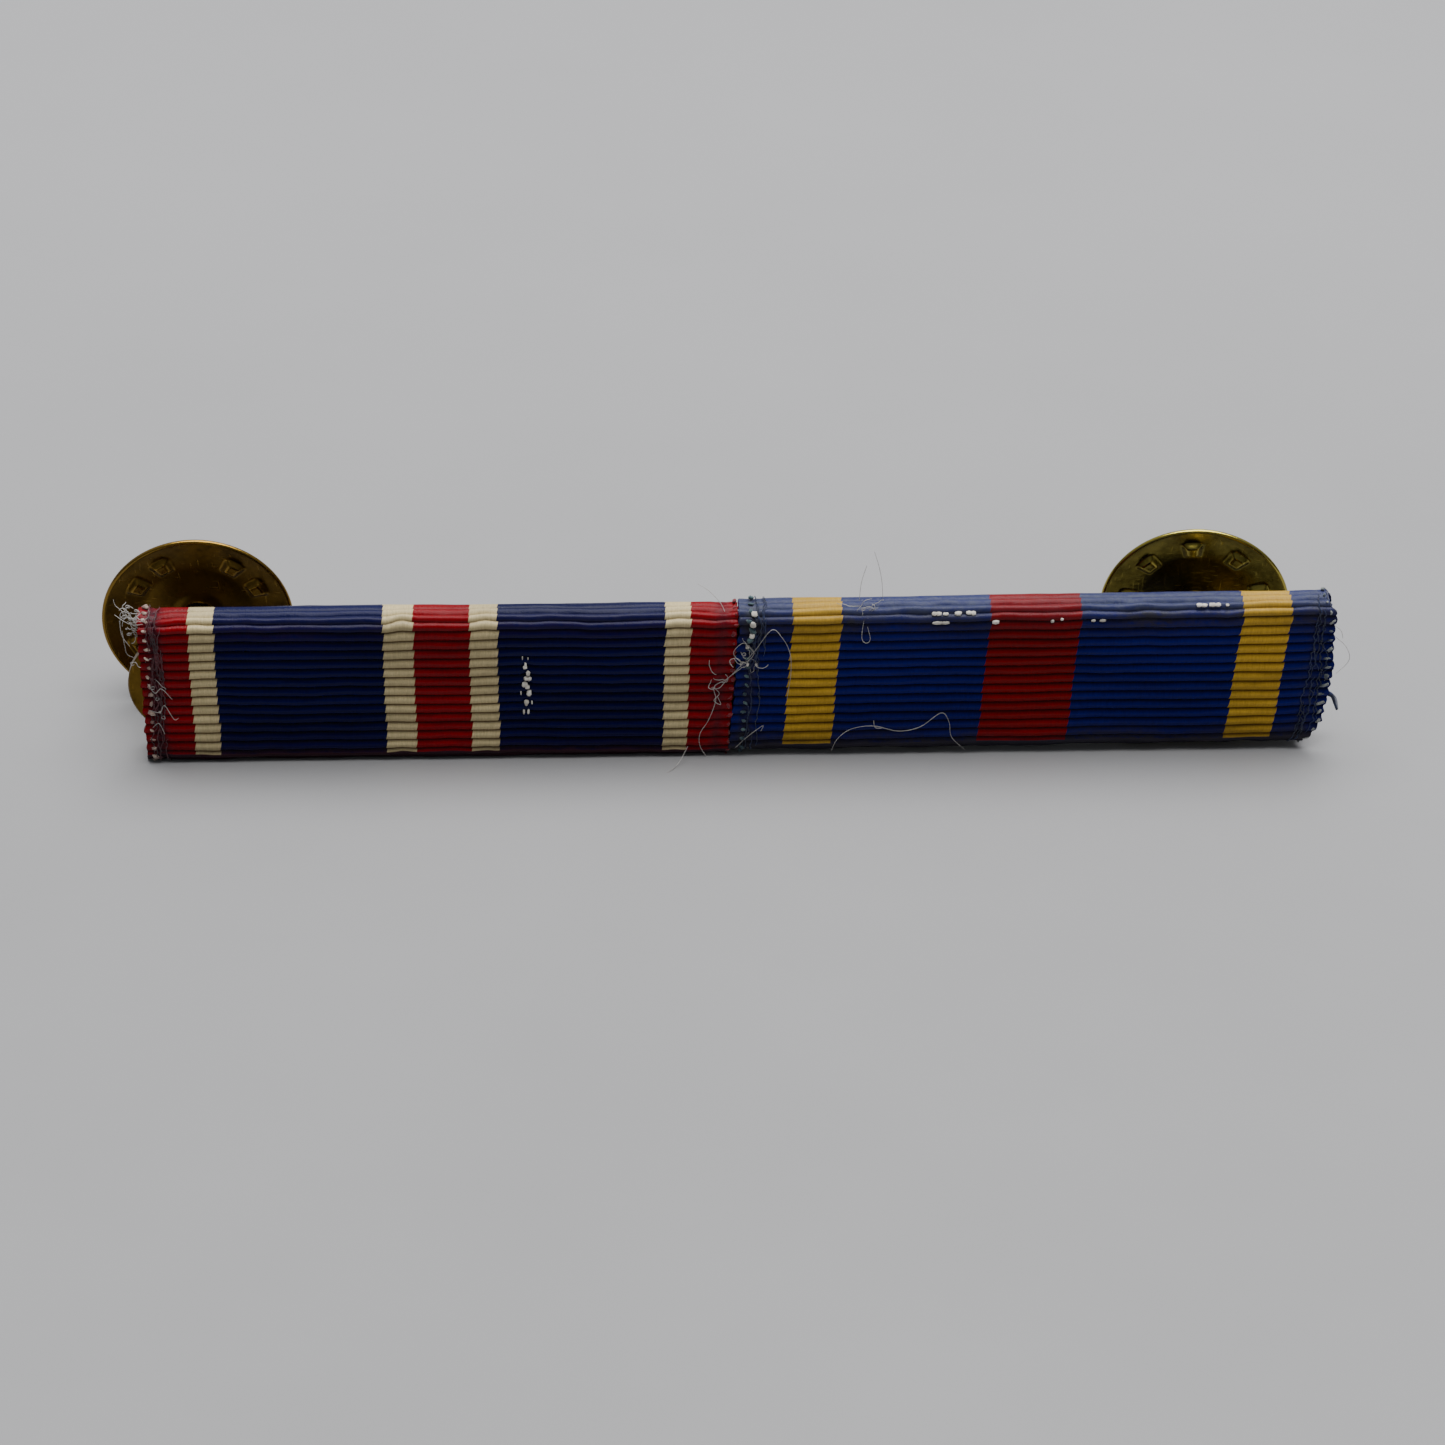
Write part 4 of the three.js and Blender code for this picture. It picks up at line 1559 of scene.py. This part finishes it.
@dataclass
class Studio:
    """Pale floor, soft light and the camera.

    Attributes:
        azimuth: camera's turn from straight ahead, in degrees; negative is to the left.
        elevation: camera's height, in degrees.
        roll: how far the camera's right side is tipped up, in degrees.
        distance: from the aim point, in metres.
        lens: on a 36 mm sensor.
        aim: the point that the camera looks at, in metres.
        floor_half: half the floor's width, in metres.
        floor_dark: the floor stone's darker tone.
        floor_light: its lighter tone.
        floor_far: the pale tone that it takes behind the bar, as painted light.
        lamp_place: the overhead light's middle, in metres.
        lamp_size: its width.
        lamp_power: in watts.
        sky: colour of the sky's light.
    """

    azimuth: float = -2.61
    elevation: float = 30.2
    roll: float = 0.62
    distance: float = 0.2497
    lens: float = 105.0
    aim: Point = (0.0006, -0.0056, 0.0026)
    floor_half: float = 1.5
    floor_dark: Colour = (0.262, 0.260, 0.264)
    floor_light: Colour = (0.312, 0.309, 0.314)
    floor_far: Colour = (0.50, 0.495, 0.505)
    lamp_place: Point = (0.05, 0.03, 0.50)
    lamp_size: float = 0.50
    lamp_power: float = 5.2
    sky: Colour = (0.93, 0.96, 1.0)

    def build_camera(self) -> bpy.types.Object:
        """A camera that looks at the aim point.

        Its turn and height give the direction from the aim point to the camera, and the
        roll turns it last, about its own line of sight.

        Returns:
            The camera, set as the scene's own.
        """
        turn, rise, roll = (math.radians(angle) for angle in (self.azimuth, self.elevation, self.roll))
        away = np.array(
            [math.sin(turn) * math.cos(rise), -math.cos(turn) * math.cos(rise), math.sin(rise)])
        data = bpy.data.cameras.new("camera")
        data.lens = self.lens
        data.sensor_width = 36.0
        data.clip_start = 0.01
        camera = bpy.data.objects.new("camera", data)
        bpy.context.scene.collection.objects.link(camera)
        camera.location = np.array(self.aim) + self.distance * away
        camera.rotation_mode = "QUATERNION"
        upright = Euler((math.pi / 2 - rise, 0.0, turn)).to_quaternion()
        camera.rotation_quaternion = upright @ Quaternion((0.0, 0.0, 1.0), roll)
        bpy.context.scene.camera = camera
        return camera

    def build_floor(self) -> bpy.types.Object:
        """A wide flat floor just under the bar: clouded stone, with painted light making it paler towards the
        back.

        Returns:
            The floor.
        """
        half, below = self.floor_half, 2e-5
        corners = np.array([[-half, -half, 0], [half, -half, 0], [half, half, 0], [-half, half, 0]])
        floor = build_mesh("floor", corners - [0, 0, below], np.array([[0, 1, 2, 3]]), smooth=False)
        shade = Shade("floor_stone")
        place = shade.node("ShaderNodeTexCoord").outputs["Object"]
        cloud = shade.noise(place, 30.0, 4.0, 0.6)
        stone = shade.mix(cloud, rgba(self.floor_dark), rgba(self.floor_light))
        split = shade.node("ShaderNodeSeparateXYZ")
        shade.feed(split.inputs[0], place)
        # painted light: the floor is painted paler behind the bar
        painted_back_light = shade.ramp(split.outputs[1], -0.05, 0.12, 0.0, 0.35)
        shade.set(Base_Color=shade.mix(painted_back_light, stone, rgba(self.floor_far)))
        shade.shader.inputs["Roughness"].default_value = 0.6
        floor.data.materials.append(shade.material)
        return floor

    def build_light(self) -> None:
        """A soft light overhead, and a sky that is brighter above and behind than in front."""
        self._overhead()
        world = bpy.data.worlds.new("sky")
        world.use_nodes = True
        tree = world.node_tree
        split = tree.nodes.new("ShaderNodeSeparateXYZ")
        tree.links.new(tree.nodes.new("ShaderNodeTexCoord").outputs["Generated"], split.inputs[0])
        strength = None
        for axis, low, high, start, end in ((2, 0.10, 0.62, -0.2, 0.9), (1, 0.5, 1.3, -0.7, 0.8)):
            ramp = tree.nodes.new("ShaderNodeMapRange")
            ramp.interpolation_type = "SMOOTHSTEP"
            set_range(ramp, start, end, low, high)
            tree.links.new(split.outputs[axis], ramp.inputs["Value"])
            product = tree.nodes.new("ShaderNodeMath")
            product.operation = "MULTIPLY"
            product.inputs[1].default_value = 1.0
            tree.links.new(ramp.outputs[0], product.inputs[0])
            if strength is not None:
                tree.links.new(strength, product.inputs[1])
            strength = product.outputs[0]
        background = tree.nodes["Background"]
        background.inputs[0].default_value = rgba(self.sky)
        tree.links.new(strength, background.inputs[1])
        bpy.context.scene.world = world

    def _overhead(self) -> None:
        """A square area light that faces the bar."""
        data = bpy.data.lights.new("overhead", "AREA")
        data.size = self.lamp_size
        data.energy = self.lamp_power
        lamp = bpy.data.objects.new("overhead", data)
        bpy.context.scene.collection.objects.link(lamp)
        lamp.location = self.lamp_place
        towards = -np.array(self.lamp_place)
        towards /= np.linalg.norm(towards)
        lamp.rotation_euler = (math.acos(-towards[2]), 0.0, math.atan2(-towards[0], towards[1]))


# ------------------------------------------------------------------ assembling


# Each cloth's soil colour is also painted as shade under its lower fold.
LEFT_CLOTH = RibbedCloth(
    "left_ribbon_rayon",
    ((Dye.CRIMSON, 2.83), (Dye.CREAM, 1.49), (Dye.NAVY, 9.77), (Dye.CREAM, 1.75), (Dye.CRIMSON, 3.31),
     (Dye.CREAM, 1.67), (Dye.NAVY, 9.73), (Dye.CREAM, 1.61), (Dye.CRIMSON, 2.75)),
    (0.030, 0.009, 0.016), 0.9)

RIGHT_CLOTH = RibbedCloth(
    "right_ribbon_rayon",
    ((Dye.ULTRAMARINE, 3.04), (Dye.GOLD, 2.96), (Dye.ULTRAMARINE, 8.7), (Dye.SCARLET, 5.3),
     (Dye.ULTRAMARINE, 9.55), (Dye.GOLD, 2.9), (Dye.ULTRAMARINE, 2.5)),
    (0.022, 0.019, 0.030), 1.2)

COTTON = SpunThread("cotton_weft", (0.54, 0.44, 0.35), (0.22, 0.13, 0.11))
GREY_COTTON = SpunThread("soiled_cotton_weft", (0.26, 0.27, 0.25), (0.05, 0.065, 0.08))
CRIMSON_ENDS = SpunThread("crimson_weft_ends", (0.20, 0.010, 0.018), (0.09, 0.004, 0.008))
TEAL_ENDS = SpunThread("teal_weft_ends", (0.075, 0.13, 0.14), (0.012, 0.03, 0.045))
BARE_COTTON = SpunThread("bare_cotton_weft", (0.80, 0.76, 0.68), (0.50, 0.46, 0.40))
RED_WARP = SpunThread("loose_crimson_warp", (0.10, 0.012, 0.020), (0.03, 0.008, 0.012))
BLUE_WARP = SpunThread("loose_blue_warp", (0.003, 0.014, 0.080), (0.002, 0.007, 0.030))
WHITE_LINT = SpunThread("white_lint", (0.62, 0.60, 0.56), (0.40, 0.38, 0.36), 0.55)
LEFT_BRASS = AgedBrass(
    "left_clutch_brown_brass", (0.25, 0.15, 0.030), (0.0082, 0.0044, 0.0009), 0.97, 0.42, True)
RIGHT_BRASS = AgedBrass(
    "right_clutch_olive_brass", (0.40, 0.33, 0.07), (0.026, 0.021, 0.0016), 0.97, 0.29, True)


def build_ribbons(bar: BarFrame) -> tuple[Ribbon, Ribbon]:
    """Both ribbons with their selvedges.

    Args:
        bar: the bar's frame.

    Returns:
        The left and the right ribbon.
    """
    left = Ribbon(
        "left", bar, LEFT_CLOTH, EdgeShape(0.0, ragged=0.06, band=1.0), EdgeShape(0.5, band=0.6),
        soil=0.35, seed=11, dents=((22.55, 0.3, 0.24, 1.6, 0.22),),
        puckers=((3.4, 0.5, 0.10), (15.2, 0.55, 0.20), (20.1, 0.5, 0.14), (31.4, 0.5, 0.12)))
    right = Ribbon(
        "right", bar, RIGHT_CLOTH, EdgeShape(0.5, ragged=0.06, band=0.8),
        EdgeShape(0.75, corner=0.45, nick=0.9, ragged=0.09, band=0.35, flare=0.62),
        soil=1.0, seed=37, tilt=0.18)
    selvedges = (
        Selvedge(left, End.LEFT, 0.42, (0.15, 0.15, 0.13), COTTON, RED_WARP, 30),
        Selvedge(left, End.RIGHT, 0.10, (0.12, 0.14, 0.10), CRIMSON_ENDS, RED_WARP, 0),
        Selvedge(right, End.LEFT, 0.70, (0.13, 0.13, 0.11), TEAL_ENDS, BLUE_WARP, 18, 0.5),
        Selvedge(right, End.RIGHT, 0.22, (0.12, 0.14, 0.12), GREY_COTTON, BLUE_WARP, 18),
    )
    for ribbon in (left, right):
        report(ribbon.build_cloth())
    for selvedge in selvedges:
        report(selvedge.build_loops())
        if selvedge.loose:
            report(selvedge.build_loose_warp())
    return left, right


def build_wear(left: Ribbon, right: Ribbon) -> None:
    """The torn prong hole on the left ribbon and the bare weft on the right one.

    Args:
        left: the left ribbon.
        right: the right ribbon.
    """
    down = left.path.down_face
    hole = ((22.47, down(1.80), 0.07, 0.20, 0.08), (22.44, down(1.68), 0.12, 0.10, 0.09),
            (22.62, down(1.24), 0.12, 0.17, 0.10), (22.50, down(0.90), 0.13, 0.11, 0.15),
            (22.68, down(0.86), 0.13, 0.12, 0.13), (22.42, down(0.45), 0.17, 0.20, 0.09),
            (22.56, down(0.28), 0.14, 0.14, 0.10), (22.66, down(-0.16), 0.14, 0.22, 0.10),
            (22.50, down(-0.80), 0.14, 0.14, 0.11), (22.48, down(-0.93), 0.08, 0.14, 0.09),
            (22.34, down(-1.52), 0.06, 0.16, 0.07), (22.60, down(-1.52), 0.07, 0.17, 0.07),
            (22.18, down(-0.15), 0.04, 0.15, 0.05), (22.82, down(-0.85), 0.04, 0.14, 0.05),
            (22.30, down(2.35), 0.03, 0.14, 0.03), (22.62, down(2.3), 0.03, 0.10, 0.03))
    report(BareWeft("left_ribbon_prong_hole_weft", left, BARE_COTTON, hole).build())
    fold = right.path.face_start()
    high, low = fold - 0.52, fold + 0.05
    bits = ((11.40, high, 0.16, 0.12, 0.08), (11.66, high, 0.15, 0.12, 0.08),
            (12.05, high + 0.02, 0.16, 0.09, 0.05), (12.78, high, 0.20, 0.12, 0.08),
            (13.42, high - 0.03, 0.17, 0.12, 0.08), (13.68, high, 0.13, 0.13, 0.07),
            (11.60, low, 0.30, 0.11, 0.05), (12.05, low, 0.26, 0.10, 0.04),
            (15.02, low, 0.20, 0.13, 0.09),
            (18.35, low, 0.10, 0.10, 0.06), (18.90, low - 0.12, 0.09, 0.08, 0.05),
            (20.75, low, 0.12, 0.09, 0.05), (21.3, low, 0.18, 0.09, 0.05),
            (26.95, high - 0.28, 0.17, 0.12, 0.09), (27.25, high - 0.26, 0.16, 0.11, 0.08),
            (27.72, high - 0.28, 0.20, 0.12, 0.09), (28.05, high - 0.28, 0.16, 0.12, 0.08),
            (28.6, high - 0.26, 0.10, 0.08, 0.05))
    report(BareWeft("right_ribbon_worn_fold_weft", right, BARE_COTTON, bits).build())
    down = right.path.down_face
    end = ((0.88, fold - 0.66, 0.17, 0.17, 0.12), (0.80, fold - 0.02, 0.18, 0.20, 0.13),
           (0.78, down(3.55), 0.16, 0.18, 0.12), (0.62, down(2.75), 0.11, 0.13, 0.10),
           (0.66, down(1.5), 0.08, 0.11, 0.08))
    report(BareWeft("right_ribbon_end_weft", right, BARE_COTTON, end).build())


def build_lint(left: Ribbon, right: Ribbon) -> None:
    """White fibres caught at the left end, at the joint, on the folds and on the face.

    Args:
        left: the ribbon that holds the fibres at the left end and round the joint.
        right: the ribbon that holds the others, and a stub of warp at its right end.
    """
    over = -0.10
    left_hairs = (
        ((-32.6, over, 0.9), (-32.2, over, 0.2), (-31.8, over, 0.5), (-31.2, over, -0.3)),
        ((-32.7, over, -1.0), (-32.0, over, -1.2), (-31.7, over, -0.7), (-31.2, over, -1.7),
         (-30.9, over, -1.6)),
        ((-32.5, over, -2.3), (-32.1, over, -2.0), (-31.8, over, -2.8)),
        ((2.4, over, 2.0), (1.4, over, 0.8), (0.6, over, 0.2), (0.7, over, -0.8), (0.3, over, -2.2),
         (-0.2, over, -3.2), (-0.2, over, -4.1), (0.2, -0.3, -4.8)),
        ((2.4, over, 1.7), (1.5, over, 0.9), (0.9, over, 0.1), (0.4, over, 0.1)),
        ((0.5, over, 0.2), (0.9, over, -0.3), (0.6, over, -0.8), (1.0, over, -1.1), (0.8, over, -0.5)),
        ((-0.9, over, -4.1), (-1.6, -1.2, -4.7), (-2.6, -2.0, -4.85), (-4.6, -2.6, -4.85)),
        ((-0.4, 1.6, 6.4), (0.3, 1.2, 6.1), (0.9, 0.8, 5.6), (1.2, 0.5, 5.1)),
        ((-34.3, 0.8, 5.2), (-33.7, 0.5, 4.9), (-33.2, 0.3, 4.8), (-32.6, 0.2, 4.9)),
        ((-33.9, 0.6, 4.2), (-33.8, 0.5, 3.2), (-33.7, 0.5, 2.6), (-33.3, 0.4, 2.4)),
        ((-34.0, 0.6, 4.9), (-33.9, 0.4, 4.0), (-33.5, 0.4, 3.2)),
    )
    left_tufts = (
        ((-33.30, 0.35, 5.3), 0.30, 22, 1.4),
        ((-33.25, 0.35, 4.5), 0.22, 12, 1.1),
        ((-32.35, over, 2.2), 0.35, 3, 0.9),
        ((-32.30, over, 0.4), 0.35, 3, 1.0),
        ((-32.15, over, -1.6), 0.35, 3, 0.9),
        ((1.0, -0.1, 0.5), 0.30, 4, 1.3),
    )
    report(Lint("left_ribbon_lint", left, WHITE_LINT, left_hairs, left_tufts).build())
    right_hairs = (
        ((2.4, over, 2.0), (3.0, over, 2.8), (3.9, over, 4.2), (4.5, over, 3.7), (5.0, over, 2.6),
         (5.1, over, 1.1), (4.9, over, -0.8)),
        ((2.9, over, 2.6), (2.3, over, 3.3), (1.7, over, 2.6), (2.3, over, 1.9), (2.9, over, 2.5),
         (2.6, over, 3.1)),
        ((1.9, over, -4.3), (2.6, over, -3.5), (3.5, over, -2.7), (3.4, over, -3.1)),
        ((7.6, over, -4.7), (8.0, over, -3.7), (8.8, over, -3.0), (10.1, over, -2.8), (11.6, over, -3.2),
         (12.9, over, -2.9), (14.1, over, -1.9), (14.6, over, -2.6), (14.8, over, -3.7),
         (15.7, over, -4.7)),
        ((10.1, over, -2.4), (10.2, over, -2.9), (10.6, over, -3.0)),
        ((9.3, 0.0, 4.8), (9.2, over, 3.9), (9.25, over, 3.4), (9.5, over, 3.2), (9.7, over, 3.5),
         (9.5, over, 4.4)),
        ((10.5, 1.5, 5.1), (10.4, 1.6, 6.4), (10.2, 1.7, 7.4), (9.9, 1.8, 8.4)),
        ((9.1, 1.4, 5.1), (9.2, 1.6, 6.3), (9.5, 1.7, 7.5)),
        ((37.0, 0.3, 3.2), (37.9, 0.3, 2.3), (38.2, 0.3, 1.3), (37.5, 0.3, 0.3)),
        ((36.7, 0.3, 4.1), (37.5, 0.4, 3.4), (37.7, 0.4, 2.8)),
    )
    right_tufts = (
        ((2.5, -0.1, 2.1), 0.26, 12, 1.5),
        ((9.2, 0.3, 4.95), 0.28, 20, 1.4),
        ((37.0, 0.2, -0.4), 0.2, 5, 0.8),
    )
    report(Lint("right_ribbon_lint", right, WHITE_LINT, right_hairs, right_tufts).build())
    stub = tuple(
        ((36.7 + 0.05 * k, 0.25 + 0.06 * k, -0.8 - 0.08 * k),
         (37.35 + 0.05 * k, 0.15 + 0.05 * k, -1.1 - 0.08 * k),
         (37.65 + 0.05 * k, 0.15 + 0.05 * k, -1.8 - 0.14 * k))
        for k in range(5))
    report(Lint("right_ribbon_end_stub", right, BLUE_WARP, stub, thickness=0.13).build())


def build_brass() -> None:
    """Both clutches, and finishes for the rail, the pins and the carriers."""
    spring = AgedBrass(
        "spring_bronze_strip", (0.55, 0.42, 0.22), (0.18, 0.13, 0.06), 0.6, 0.4).material()
    in_pairs = tuple(90 * k + 43 + turn for k in range(4) for turn in (-14.5, 14.5))
    evenly = tuple(40.0 * k + 15 for k in range(9))
    left = Clutch("left", LEFT_BRASS, in_pairs)
    right = Clutch("right", RIGHT_BRASS, evenly)
    for clutch in (left, right):
        report(clutch.build_disc())
        clutch.dress(spring)
    rail = AgedBrass(
        "rail_brown_brass", (0.20, 0.12, 0.022), (0.026, 0.014, 0.002), 0.96, 0.5).material()
    pin = AgedBrass(
        "pin_dull_brass", (0.50, 0.39, 0.16), (0.14, 0.095, 0.03), 0.7, 0.4).material()
    sheet = AgedBrass(
        "carrier_sheet_brass", (0.50, 0.36, 0.12), (0.12, 0.075, 0.018), 0.8, 0.40).material()
    coat("mount_rail", rail)
    for side in ("left", "right"):
        coat(f"{side}_pin", pin)
        coat(f"{side}_carrier", sheet)


def report(piece: bpy.types.Object) -> None:
    """Say what was built."""
    LOG.info("%s: %d faces", piece.name, len(piece.data.polygons))


def main() -> None:
    """Build the bar around the frame."""
    logging.basicConfig(level=logging.INFO, format="%(name)s %(message)s")
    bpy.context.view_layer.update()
    bar = BarFrame.from_record()
    studio = Studio()
    studio.build_camera()
    studio.build_floor()
    studio.build_light()
    left, right = build_ribbons(bar)
    build_wear(left, right)
    build_lint(left, right)
    build_brass()


if __name__ == "__main__":
    main()
